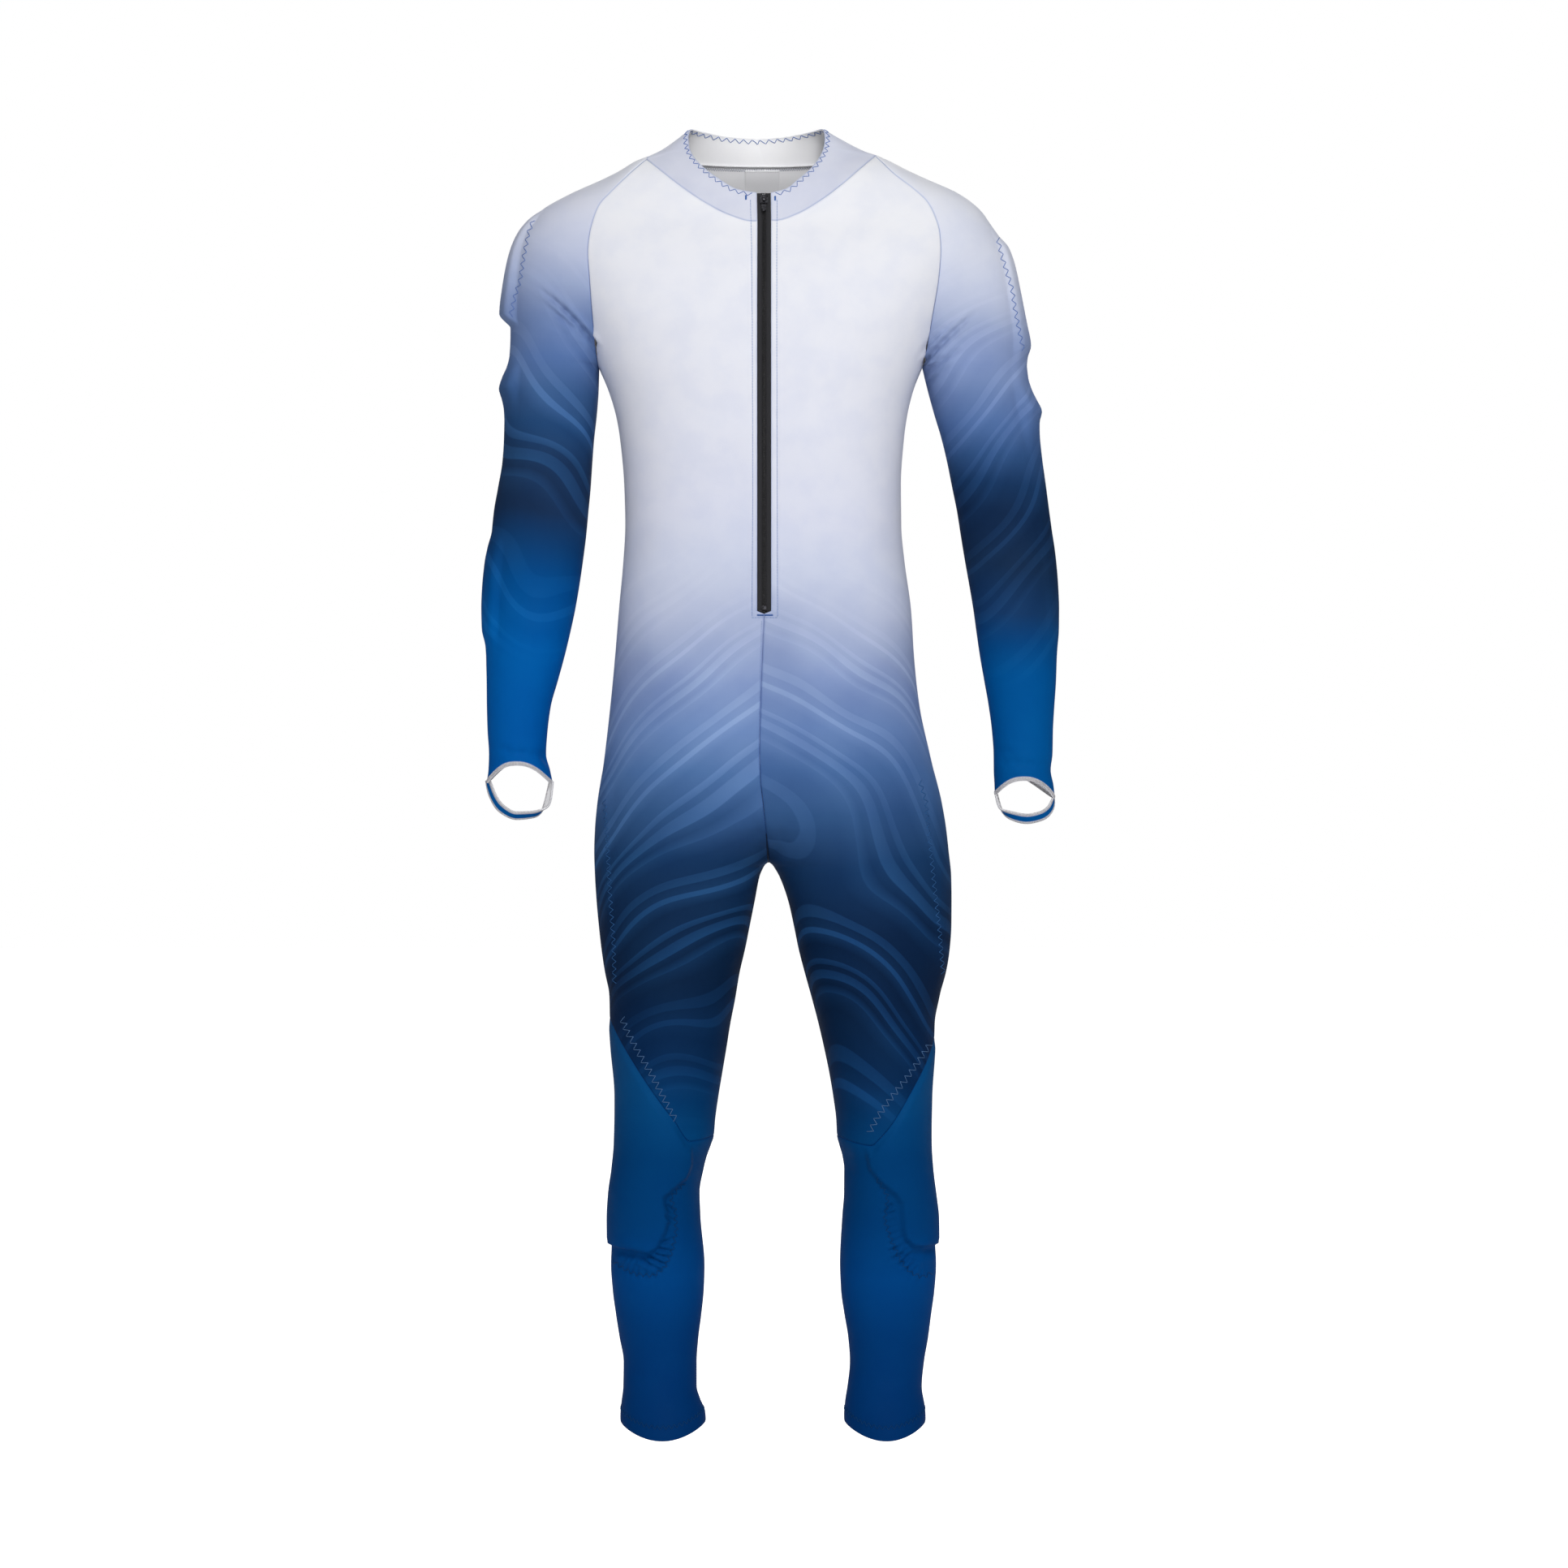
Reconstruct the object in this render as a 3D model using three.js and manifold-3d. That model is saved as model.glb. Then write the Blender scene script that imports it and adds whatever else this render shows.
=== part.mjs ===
// A one-piece ski race suit, filled out and hollow as when it is worn: two front and two back
// panels, raglan sleeves with hand loops, lower legs over shin pads, a funnel collar and a front zip.
// Millimetres, +Z up. The front looks along -Y and the wearer's right side is at -X.
// The origin is where the wearer's shoulders hold the suit: mid-way between them, level with the
// side of the neck.
import * as THREE from "three";
import { mergeVertices } from "three/addons/utils/BufferGeometryUtils.js";
import Module from "manifold-3d";

const wasm = await Module();
wasm.setup();

// Driving dimensions
const CLOTH = 1.5; // wall of the stretch fabric
const SEAM = 0.3; // gap between two sewn pieces
const WELD = 0.002; // points closer than this are one point
const UNDERARM = -235; // height of the underarm points
const CROTCH = -796; // height of the crotch point
const THIGH_EVEN = -930; // lowest level row above the slanting knee seams
const SHIN_EVEN = -1132; // highest level row below them
const ZIP_BOTTOM = -517;
const ZIP_HALF = 7.7; // half the width of the opening that the zip fills
const SHOULDER_Y = 5; // how far back the shoulder ridge lies
const SHOULDER_TOP = 4; // height of the shoulder line at the collar
const BACK_NECK = 2; // height of the back neck seam at its middle
const FRONT_NECK = -80.4; // height of the front neck seam at the zip
const RIGHT = -1;
const LEFT = 1;
const SIDES = [RIGHT, LEFT];
const sideName = (side) => (side === RIGHT ? "right" : "left");

// Smooth curve through points with rising keys, without overshoot between them.
function smooth(keys, values) {
  const slopes = keys.slice(1).map((key, i) => (values[i + 1] - values[i]) / (key - keys[i]));
  const tangents = keys.map((_, i) => {
    if (i === 0) return slopes[0];
    if (i === keys.length - 1) return slopes[i - 1];
    const before = slopes[i - 1];
    const after = slopes[i];
    return before * after <= 0 ? 0 : (2 * before * after) / (before + after);
  });
  return (key) => {
    const x = Math.min(Math.max(key, keys[0]), keys[keys.length - 1]);
    let i = 0;
    while (i < keys.length - 2 && x > keys[i + 1]) i += 1;
    const h = keys[i + 1] - keys[i];
    const s = (x - keys[i]) / h;
    const rise = s * s * (3 - 2 * s);
    const leave = s * (1 - s) * (1 - s) * h * tangents[i];
    const arrive = s * s * (1 - s) * h * tangents[i + 1];
    return values[i] * (1 - rise) + values[i + 1] * rise + leave - arrive;
  };
}

// A table's named columns, each as a smooth curve of the first column.
function table(names, rows) {
  const sorted = [...rows].sort((a, b) => a[0] - b[0]);
  const keys = sorted.map((row) => row[0]);
  const curves = names.map((name, i) => [name, smooth(keys, sorted.map((row) => row[i]))]);
  return Object.fromEntries(curves);
}

const RING_END = 270; // angle at which a ring closes on its start at -90
const radians = (degrees) => (degrees * Math.PI) / 180;
const degrees = (angle) => (angle * 180) / Math.PI;
const mix = (a, b, share) => a + (b - a) * share;
const ramp = (x, low, high) => {
  const s = Math.min(Math.max((x - low) / (high - low), 0), 1);
  return s * s * (3 - 2 * s);
};
const point = (x, y, z) => new THREE.Vector3(x, y, z);

// Side view: how far the front and back lie from the middle plane "centre", and how square the
// section is (2 is an ellipse).
const PROFILE = table(["z", "front", "back", "centre", "square"], [
  [12, 12, 42, 5, 3],
  [0, 27, 55, 5, 3],
  [-10, 41, 60, 5, 3],
  [-25, 55, 68, 5, 3],
  [-50, 69, 79, 5, 2.94],
  [-80, 82, 90, 5, 2.86],
  [-110, 97, 97, 5, 2.76],
  [-150, 110, 103, 5, 2.62],
  [-200, 117, 105, 5, 2.5],
  [-235, 117, 104, 5, 2.46],
  [-300, 110, 98, 4, 2.42],
  [-400, 98, 87, 2, 2.4],
  [-500, 100, 93, 1, 2.4],
  [-600, 106, 107, 2, 2.38],
  [-680, 112, 119, 4, 2.3],
  [-740, 112, 121, 6, 2.2],
  [-796, 104, 112, 8, 2.12],
  [-840, 98, 104, 7, 2.06],
  [-900, 94, 94, 4, 2.02],
  [-1000, 80, 80, 2, 2],
  [-1061, 72, 70, 1, 2],
  [-1110, 67, 62, 1, 2],
  [-1150, 62, 59, 3, 2],
  [-1200, 57, 62, 7, 2],
  [-1254, 53, 63, 10, 2],
  [-1309, 48, 57, 12, 2],
  [-1364, 43, 48, 13, 2],
  [-1400, 45, 47, 10, 2],
  [-1432, 53, 52, 6, 2],
  [-1450, 56, 54, 5, 2],
]);

// Front view of the body: distance of each outer silhouette from the plane x = 0, and the x of the
// middle line. Above the underarm the widths are those that the chest would have inside the sleeves.
const WIDTH = table(["z", "right", "left", "middle"], [
  [12, 205, 205, 0],
  [0, 220, 215, 0],
  [-25, 238, 233, 0],
  [-50, 245, 239, 0],
  [-67, 245, 238, 0],
  [-85, 243, 236, 0],
  [-104, 238, 230, 0],
  [-131, 230, 222, 0],
  [-168, 217, 208, 0],
  [-205, 201, 192, 0],
  [-235, 188, 179, 0],
  [-262, 176.5, 168.5, 0],
  [-290, 168.3, 161.8, 0],
  [-316, 164, 158.3, 0],
  [-371, 159.2, 154.6, 0],
  [-415, 158.2, 154.6, 0],
  [-454, 160, 158, 0],
  [-509, 164.6, 165.5, 0],
  [-564, 169.3, 169.6, -2],
  [-620, 174.8, 176, -4],
  [-674, 181.2, 187.7, -5],
  [-702, 185, 194, -4],
  [-730, 188.3, 199.6, -1],
  [-757, 190.5, 204, 2],
  [-785, 191.4, 207, 4],
  [-812, 190.6, 209.6, 4.6],
  [-840, 188.8, 210, 4.6],
  [-868, 186, 209.8, 4.6],
  [-895, 183, 208, 4.6],
  [-923, 179.4, 204, 4.6],
  [-950, 175.8, 198, 4.6],
  [-978, 175.2, 193, 4.6],
  [-1006, 173.6, 192.4, 4.6],
  [-1061, 168.8, 188.6, 4.6],
  [-1116, 168.2, 186.8, 4.6],
  [-1144, 169.8, 188, 4.6],
  [-1171, 172.8, 190.4, 4.6],
  [-1199, 174, 193, 4.6],
  [-1226, 173.8, 193.6, 4.6],
  [-1254, 174.8, 195, 4.6],
  [-1282, 173, 193.2, 4.6],
  [-1309, 169.3, 189.5, 4.6],
  [-1337, 164.8, 185.8, 4.6],
  [-1364, 160.3, 181.2, 4.6],
  [-1392, 160.5, 178.6, 4.6],
  [-1420, 163.5, 182.6, 4.6],
  [-1450, 163, 183, 4.6],
]);

// Front view of the legs: distance of each inner silhouette from the plane x = 0.
const INSEAM = table(["z", "right", "left"], [
  [-796, -4.6, 4.6],
  [-799, -0.6, 8.6],
  [-804, 2.2, 12],
  [-812, 5.5, 16.6],
  [-840, 11, 26.7],
  [-868, 16.6, 33],
  [-895, 22, 38.6],
  [-923, 28.5, 46],
  [-950, 33, 53.4],
  [-978, 38.6, 60.7],
  [-1006, 43.2, 67.2],
  [-1033, 47.8, 72.7],
  [-1061, 52.4, 77.3],
  [-1088, 56, 81],
  [-1106, 57.4, 82],
  [-1116, 60.5, 84.5],
  [-1130, 65.5, 88.4],
  [-1144, 69, 90.2],
  [-1171, 73.6, 90.2],
  [-1199, 72.7, 88.3],
  [-1254, 68, 85.6],
  [-1282, 69, 86.5],
  [-1309, 71.8, 90.2],
  [-1337, 75.4, 94.8],
  [-1364, 77.3, 96.6],
  [-1392, 77.3, 93.8],
  [-1406, 73.4, 91.5],
  [-1420, 67.6, 90],
  [-1450, 65.6, 91],
]);

// Where the two halves part: share of a half section's outer width that its oval reaches across the
// middle. 1 is a plain torso oval, and 0 is a leg of its own.
const SPLIT = table(["z", "across"], [
  [-630, 1],
  [-660, 0.9],
  [-690, 0.78],
  [-720, 0.6],
  [-750, 0.36],
  [-770, 0.18],
  [-785, 0.06],
  [-796, 0],
]);

// The back is a little narrower than the front inside the sleeves.
const BACK_WIDTH = table(["z", "right", "left"], [
  [12, 142, 140],
  [0, 160, 157],
  [-30, 205, 201],
  [-60, 222, 217],
  [-100, 228, 222],
  [-150, 222, 214],
  [-200, 205, 196],
  [-235, 188, 179],
]);

// Raglan seams from the underarm (0) to the collar (1): distance from x = 0, and height.
const FRONT_RAGLAN = table(["share", "rightX", "rightZ", "leftX", "leftZ"], [
  [0, 188, -235, 179, -235],
  [0.1, 190, -211.8, 183.5, -211.4],
  [0.25, 192.9, -177, 189.6, -176],
  [0.4, 195.2, -142, 195.3, -140.4],
  [0.53, 197.2, -112, 197.4, -110],
  [0.61, 195.4, -93.5, 196.2, -91],
  [0.69, 191.2, -75, 191, -72],
  [0.76, 184.9, -59, 182.6, -55.5],
  [0.83, 172.5, -44.8, 169, -42],
  [0.92, 151.9, -23.2, 145, -22],
  [1, 132.7, -3.4, 124.7, 1.5],
]);
const BACK_RAGLAN = table(["share", "rightX", "rightZ", "leftX", "leftZ"], [
  [0, 188, -235, 179, -235],
  [0.12, 184.5, -206, 176.5, -206],
  [0.25, 179.5, -174, 172.5, -174],
  [0.4, 172, -139, 166, -139],
  [0.55, 162.5, -103, 158, -103],
  [0.7, 150, -66, 146, -66],
  [0.85, 133, -30, 129, -30],
  [1, 111, 7, 107, 8],
]);

// Top of the shoulder and outer side of the upper arm in front view, without the pads.
const SHOULDER = table(["z", "right", "left"], [
  [-235, 290.7, 296],
  [-205, 288.4, 294.4],
  [-192, 288.2, 292.5],
  [-177, 290.5, 290.2],
  [-150, 289.6, 285.6],
  [-122, 287, 280],
  [-104, 283.4, 274],
  [-85.6, 276.5, 264.4],
  [-69, 264, 253.5],
  [-58, 254, 245.4],
  [-39.6, 222.6, 222],
  [-21, 180, 180.3],
  [-12, 162, 161],
  [-2.8, 147, 143],
  [4, 130, 128],
]);

// Sleeve below the underarm: outer and inner silhouettes, half depth and how far back it hangs.
const SLEEVE = table(
  ["z", "rightOuter", "rightInner", "leftOuter", "leftInner", "depth", "centre"],
  [
    [-235, 290.7, 188, 296, 179, 60, 5],
    [-260, 293.2, 188.6, 298.4, 184.9, 58.5, 5],
    [-288, 295.1, 190.4, 303.5, 192.3, 57, 5],
    [-316, 295.8, 193.2, 309.2, 200.6, 55, 5],
    [-343, 297.6, 195, 314.4, 207, 53, 4],
    [-371, 302.4, 196.9, 318.8, 212.5, 51.5, 4],
    [-398, 307, 199.6, 322.2, 218, 50.5, 3],
    [-426, 309.6, 202.4, 325.7, 222.6, 50, 2],
    [-454, 311.6, 206, 328.4, 227.2, 49, 0],
    [-481, 313.6, 209.8, 330.3, 231.8, 47.5, -3],
    [-509, 314.6, 214.4, 331.2, 236.4, 46, -6],
    [-536, 314.8, 219.9, 331.2, 240, 44, -9],
    [-564, 314.6, 226.3, 330.3, 243.8, 41, -12],
    [-592, 313.9, 233.7, 329.4, 248.4, 37.5, -14],
    [-619, 313.6, 241, 327.5, 253, 34.5, -16],
    [-647, 312.8, 244.7, 325.7, 256.7, 32.5, -17],
    [-674, 311, 246.4, 324.9, 258.5, 31, -18],
    [-692, 311.6, 242, 322.8, 258.6, 31, -18],
    [-709, 313.6, 239.2, 326, 259.4, 31, -18],
    [-733, 313.6, 238.6, 328.5, 260, 31, -18],
  ],
);

// Pads under the sleeve cloth on the outer side, by the height of the silhouette: how far each
// stands out.
const ARM_PAD = table(["z", "right", "left"], [
  [-58, 0, 0],
  [-72, 4, 0],
  [-84, 4.5, 0.6],
  [-104, 6, 5],
  [-140, 9, 5.4],
  [-179, 11.4, 6],
  [-190, 0, 6.4],
  [-211, 0, 7.4],
  [-224, 0, 3],
  [-235, 2, 1.6],
  [-247, 6, 2],
  [-259, 8.4, 4.4],
  [-272, 4, 8.5],
  [-284, 1, 12],
  [-297, 0, 7],
  [-320, 0, 3],
  [-350, 0, 1],
  [-420, 0, 0.6],
  [-440, 3.4, 1.4],
  [-458, 5.4, 1.8],
  [-500, 6, 2],
  [-532, 5, 1.6],
  [-552, 0.8, 0.4],
  [-564, 0, 0],
]);
const ARM_PAD_EDGES = [40, 54, 126, 140]; // angles where a pad starts, is full, and ends

// Shin pads under the lower legs: how far each stands out, and the angle of its inner edge.
const SHIN_PAD = table(["z", "right", "left", "rightEdge", "leftEdge"], [
  [-965, 0, 0, 86, 88],
  [-978, 1.8, 0, 74, 84],
  [-1005, 2, 2.4, 43, 72],
  [-1050, 2.4, 2.6, 17, 34],
  [-1086, 3.2, 3.4, -12, -4],
  [-1110, 4.4, 4.2, -30, -26],
  [-1134, 6, 5, -38, -25],
  [-1157, 7.2, 6, -28, -3],
  [-1178, 8, 7, -10, 18],
  [-1206, 8.6, 7.8, -15, 16],
  [-1218, 8.8, 8, -17, 20],
  [-1229, 8.8, 0.6, -16, 24],
  [-1236, 0.4, 0, -14, 24],
  [-1250, 0, 0, -14, 24],
]);
const SHIN_PAD_BACK = 122; // angle of the pads' back edge
const SHIN_PAD_SLOPE = 7; // half the angle over which an edge rises
const SHIN_PAD_START = 14; // distance below the knee seam at which a pad is full
const SHIN_PAD_SIDE = 0.63; // share of a pad's height that is left at the side of the leg
const SHIN_PAD_FADE = [35, 90]; // angles between which it falls to that share
const SHIN_PAD_BOTTOM = -1236;

// Small gathers where the elastic stitching pulls the cloth in round the shin pads.
const GATHER_DEPTH = 1.3;
const GATHER_TOP = -1136;
const GATHER_BOTTOM = -1250;

// Hip pads: angle of the front edge that the stitching follows, and how far they stand out.
const HIP_PAD = table(["z", "height", "edge"], [
  [-690, 0, 66],
  [-730, 1.6, 62],
  [-790, 2, 56],
  [-860, 2, 54],
  [-910, 1.6, 58],
  [-940, 0, 62],
]);
const HIP_PAD_SLOPE = 6; // half the angle over which the front edge rises
const HIP_PAD_END = [118, 140]; // angles between which the pad fades out behind

// Rows of the sleeve above the underarm. "raglan" and "top" are shares of the way up the raglan
// seams and the shoulder line, "front" and "back" are the angles at which the arc leaves each seam,
// and "fold" is the height of the underarm crease on that row.
const CAP_ROWS = [
  { raglan: 0.035, topRight: 0.18, topLeft: 0.1, front: -61, back: -58, fold: 0 },
  { raglan: 0.07, topRight: 0.234, topLeft: 0.21, front: -49, back: -50, fold: 0 },
  { raglan: 0.1, topRight: 0.38, topLeft: 0.37, front: -41, back: -42, fold: 1.6 },
  { raglan: 0.125, topRight: 0.43, topLeft: 0.42, front: -36, back: -37, fold: -2.6 },
  { raglan: 0.15, topRight: 0.475, topLeft: 0.47, front: -31, back: -33, fold: 1.6 },
  { raglan: 0.24, topRight: 0.54, topLeft: 0.54, front: -14, back: -20, fold: 0 },
  { raglan: 0.36, topRight: 0.61, topLeft: 0.61, front: 0, back: -6, fold: 0 },
  { raglan: 0.48, topRight: 0.68, topLeft: 0.67, front: 10, back: 6, fold: 0 },
  { raglan: 0.6, topRight: 0.75, topLeft: 0.74, front: 18, back: 14, fold: 0 },
  { raglan: 0.71, topRight: 0.82, topLeft: 0.82, front: 21, back: 18, fold: 0 },
  { raglan: 0.81, topRight: 0.89, topLeft: 0.89, front: 22, back: 20, fold: 0 },
  { raglan: 0.91, topRight: 0.95, topLeft: 0.95, front: 20, back: 20, fold: 0 },
  { raglan: 1, topRight: 1, topLeft: 1, front: 14, back: 14, fold: 0 },
];
// Shares of the front arc over which the crease rises, and over which it fades out.
const FOLD_START = [0, 0.1];
const FOLD_END = [0.3, 0.72];
const SLEEVE_ANGLES = [-90, -64, -38, -12, 14, 40, 54, 72, 90, 108, 126, 140, 166, 192, 218, 244, 270];
const SLEEVE_ROWS = [
  -667, -650, -620, -590, -564, -552, -532, -500, -458, -440, -420, -385, -350, -320, -297, -284,
  -272, -259, -247, -235,
];
const CUFF = {
  right: { front: -687, back: -684, outer: -706.5, inner: -708 },
  left: { front: -704, back: -700, outer: -724, inner: -720 },
};

// Rows of the body panels between the knee seams and the underarm.
const KNEE_SHARES = [0, 0.25, 0.5, 0.75];
const BODY_ROWS = [
  -930, -900, -870, -840, -816, -804, -796, -790, -781, -768, -749, -724, -692, -655, -612, -565,
  -519, -516, -470, -425, -380, -338, -300, -266, -235,
];
const FRONT_COLUMNS = 8;
const BACK_COLUMNS = 6;
// Height of the knee seam by the share of the leg's half width, from the inseam (-1) to the outer
// side (1). It runs level to its corner, and then slants up.
const KNEE_SEAM = {
  right: table(["across", "z"], [
    [-1, -1105],
    [-0.559, -1107.5],
    [-0.2, -1083],
    [0.31, -1046],
    [0.75, -1002],
    [1, -972],
  ]),
  left: table(["across", "z"], [
    [-1, -1105],
    [-0.309, -1111.5],
    [-0.08, -1102],
    [0.2, -1084],
    [0.6, -1048],
    [0.85, -1019],
    [1, -994],
  ]),
};
// Angles of the columns along the knee seam. One column stands on the seam's corner.
const KNEE_FRONT_ANGLES = {
  right: [-90, -62, -34, -12, 10, 32, 52, 71, 90],
  left: [-90, -66, -42, -18, 6, 29, 51, 71, 90],
};
const KNEE_BACK_ANGLES = {
  right: [-90, -62, -34, -3, 28, 59, 90],
  left: [-90, -54, -18, 9, 36, 63, 90],
};

// Front neck seam: share of its depth by the share of the way from the middle to its corner.
const NECK_SEAM = table(["across", "drop"], [
  [0, 1],
  [0.11, 0.997],
  [0.29, 0.905],
  [0.49, 0.72],
  [0.705, 0.452],
  [0.868, 0.21],
  [1, 0],
]);
const NECK_DEPTH = { right: 77.3, left: 81.5 };

// Top edge of the collar from the zip (0) to the middle of the back (1).
const RIM = table(["share", "half", "middle", "y", "z"], [
  [0, 7.9, -0.6, -61, -46.5],
  [0.1, 27, -3.4, -59, -42],
  [0.2, 44.5, -6, -51, -29.5],
  [0.3, 60, -7.4, -38, -15],
  [0.4, 72, -8.8, -22, 2],
  [0.47, 76, -9, -10, 14],
  [0.53, 77.4, -9.2, 1, 27],
  [0.59, 76, -9.3, 12, 36.5],
  [0.64, 72.5, -9.3, 21, 38.6],
  [0.75, 58, -9.2, 37, 37.4],
  [0.87, 32, -9, 48, 34.4],
  [1, 0, -8.6, 53, 32.6],
]);
const COLLAR_ROWS = 3;

// Lower legs
const SHIN_BLEND = [0.42, 0.7];
const SHIN_ROWS = [
  -1132, -1138, -1146, -1154, -1162, -1170, -1178, -1188, -1198, -1208, -1218, -1222, -1229,
  -1236, -1245, -1262, -1290, -1318, -1345, -1372, -1396, -1412,
];
const SHIN_INNER_COLUMNS = 5;
const SHIN_PAD_COLUMNS = 8;
const SHIN_BACK_COLUMNS = 6;
const HEM = { side: -1430, front: -1444, back: -1437 };

// Hand loops: middle of the strap from the outer side of the cuff round to the inner side, and how
// far its front edge leans sideways and up.
const LOOP_WIDTH = 13;
const LOOP_STEPS = 18;
const LOOP_END = 6; // last step of the route
const HAND_LOOP = {
  right: table(["step", "x", "z", "leanX", "leanZ"], [
    [0, -312.7, -706.8, 0, 0],
    [1, -308.5, -722, 0.5, 0.1],
    [2, -298, -736, 0.6, 0.5],
    [3, -280, -744, 0.2, 0.9],
    [4, -261, -742, 0.1, 0.8],
    [5, -246, -731, 0.5, 0.3],
    [6, -240.1, -708.3, 0, 0],
  ]),
  left: table(["step", "x", "z", "leanX", "leanZ"], [
    [0, 326.8, -724.3, 0, 0],
    [1, 324.5, -733, -0.4, 0.2],
    [2, 314, -744, -0.3, 0.7],
    [3, 296, -748, 0, 0.9],
    [4, 279, -743.5, 0, 0.7],
    [5, 266, -735, -0.5, 0.2],
    [6, 260.5, -720.3, 0, 0],
  ]),
};
const LOOP_Y = -18;

// Zip
const TAPE_INNER = 2.3; // where each tape meets the coil
const TAPE_OUTER = ZIP_HALF - SEAM;
const TAPE_RECESS = 0.6;
const TAPE_THICK = 1.2;
const COIL_HALF = 2;
const COIL_RISE = 0.1;
const ZIP_STEPS = 22;
const ZIP_LIFT = 1.3; // the tapes end this far above the end of the opening
const SLIDER = { width: 8.6, length: 10.5, thick: 2.4, corner: 1.6, at: 0.72 };
const BRIDGE = { width: 2.2, foot: 4, inside: 3, rise: 3.9, insideRise: 2.9, round: 1.4, sunk: 0.4 };
// The pull tab turns on its top bar, which lies under the bridge at "axisAt" along the slider and
// "axisRise" above its plate.
const PULL = {
  width: 5.2, length: 15.5, thick: 1.1, rail: 1, window: 6.2, barHalf: 0.7, axisAt: -1.8, axisRise: 1.4,
};
const STOP = { width: 5.4, length: 4.2, thick: 1.2, corner: 0.8, above: 4.5 };

// Neck label inside the middle of the back
const LABEL = { left: -23.3, right: 16.8, top: -1, bottom: -37, thick: 0.6, columns: 4, rows: 4 };

// Superellipse terms: sine and cosine that bulge as the section gets squarer.
function bulge(value, square) {
  return Math.sign(value) * Math.abs(value) ** (2 / square);
}

// Half section of the body at height z as an oval: its middle and half width, from the middle line.
function bodyOval(side, z) {
  const middle = WIDTH.middle(z);
  const outer = WIDTH[sideName(side)](z) - side * middle;
  const inner = z < CROTCH ? INSEAM[sideName(side)](z) - side * middle : -SPLIT.across(z) * outer;
  return { middle, centre: (outer + inner) / 2, half: (outer - inner) / 2 };
}

// Angle at which a body section starts: at the inseam, at the middle seam, or at the zip's edge.
function startAngle(side, z) {
  if (z <= CROTCH) return -90;
  const oval = bodyOval(side, z);
  const square = PROFILE.square(z);
  const clip = z > ZIP_BOTTOM ? ZIP_HALF : 0;
  const share = (clip - oval.centre) / oval.half;
  return degrees(Math.asin(Math.sign(share) * Math.abs(share) ** (square / 2)));
}

function hipPad(z, angle) {
  return HIP_PAD.height(z) * ramp(angle, HIP_PAD.edge(z) - HIP_PAD_SLOPE, HIP_PAD.edge(z) + HIP_PAD_SLOPE)
    * (1 - ramp(angle, ...HIP_PAD_END));
}

// A point of the body at height z. The angle is -90 at the inseam, 0 at the front, 90 at the side
// and 180 at the back. "proud" moves it out.
function bodyPoint(side, z, angle, proud = 0) {
  const oval = bodyOval(side, z);
  const square = PROFILE.square(z);
  const out = bulge(Math.sin(radians(angle)), square);
  const ahead = bulge(Math.cos(radians(angle)), square);
  const depth = ahead > 0 ? PROFILE.front(z) : PROFILE.back(z);
  const rise = proud + hipPad(z, angle);
  return point(
    oval.middle + side * (oval.centre + oval.half * out + rise * Math.sin(radians(angle))),
    PROFILE.centre(z) - depth * ahead - rise * Math.cos(radians(angle)),
    z,
  );
}

// Height of the slanting knee seam at an angle round the leg.
function kneeSeam(side, angle) {
  return KNEE_SEAM[sideName(side)].z(Math.sin(radians(angle)));
}

// Depth of the chest or back at a place in the front view, above the underarm.
function chestPoint(side, x, z, back) {
  const widths = back ? BACK_WIDTH : WIDTH;
  const across = Math.min(Math.abs(x) / widths[sideName(side)](z), 1);
  const square = PROFILE.square(z);
  const share = (1 - across ** square) ** (1 / square);
  const y = PROFILE.centre(z) + share * (back ? PROFILE.back(z) : -PROFILE.front(z));
  return point(side * Math.abs(x), y, z);
}

function raglanPoint(side, share, back) {
  const seam = back ? BACK_RAGLAN : FRONT_RAGLAN;
  const name = sideName(side);
  return chestPoint(side, seam[name + "X"](share), seam[name + "Z"](share), back);
}

function shoulderPoint(side, share) {
  const z = mix(UNDERARM, SHOULDER_TOP, share);
  return point(side * SHOULDER[sideName(side)](z), SHOULDER_Y, z);
}

// Neck seam of a front or back panel, from the middle (0) to the raglan corner (1).
function neckSeam(side, share, back) {
  const corner = raglanPoint(side, 1, back);
  const edge = Math.abs(corner.x);
  if (back) return chestPoint(side, edge * share, mix(BACK_NECK, corner.z, share * share), true);
  const x = mix(ZIP_HALF, edge, share);
  const z = corner.z - NECK_DEPTH[sideName(side)] * NECK_SEAM.drop(x / edge);
  return chestPoint(side, x, z, false);
}

// One row of a front or back panel above the underarm, from the middle to the raglan seam. The rows
// fill the space between the underarm row, the neck seam, the middle line and the raglan seam.
function chestRow(side, row, columns, back) {
  const climb = (row + 1) / CAP_ROWS.length;
  const seam = raglanPoint(side, CAP_ROWS[row].raglan, back);
  const start = back ? 0 : ZIP_HALF;
  const top = neckSeam(side, 0, back).z;
  const bottomRow = bodyRow(side, UNDERARM, columns, back);
  const width = Math.abs(bottomRow[columns].x);
  const corner = neckSeam(side, 1, back);
  return bottomRow.map((bottom, i) => {
    const u = i / columns;
    const neck = neckSeam(side, u, back);
    const blend = (left, right, low, high, lowLeft, lowRight, highLeft, highRight) =>
      mix(left, right, u) + mix(low, high, climb)
      - mix(mix(lowLeft, lowRight, u), mix(highLeft, highRight, u), climb);
    const x = blend(start, Math.abs(seam.x), Math.abs(bottom.x), Math.abs(neck.x),
      start, width, start, Math.abs(corner.x));
    const z = blend(mix(UNDERARM, top, climb), seam.z, UNDERARM, neck.z,
      UNDERARM, UNDERARM, top, corner.z);
    return i === columns ? seam : chestPoint(side, x, z, back);
  });
}

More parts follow.
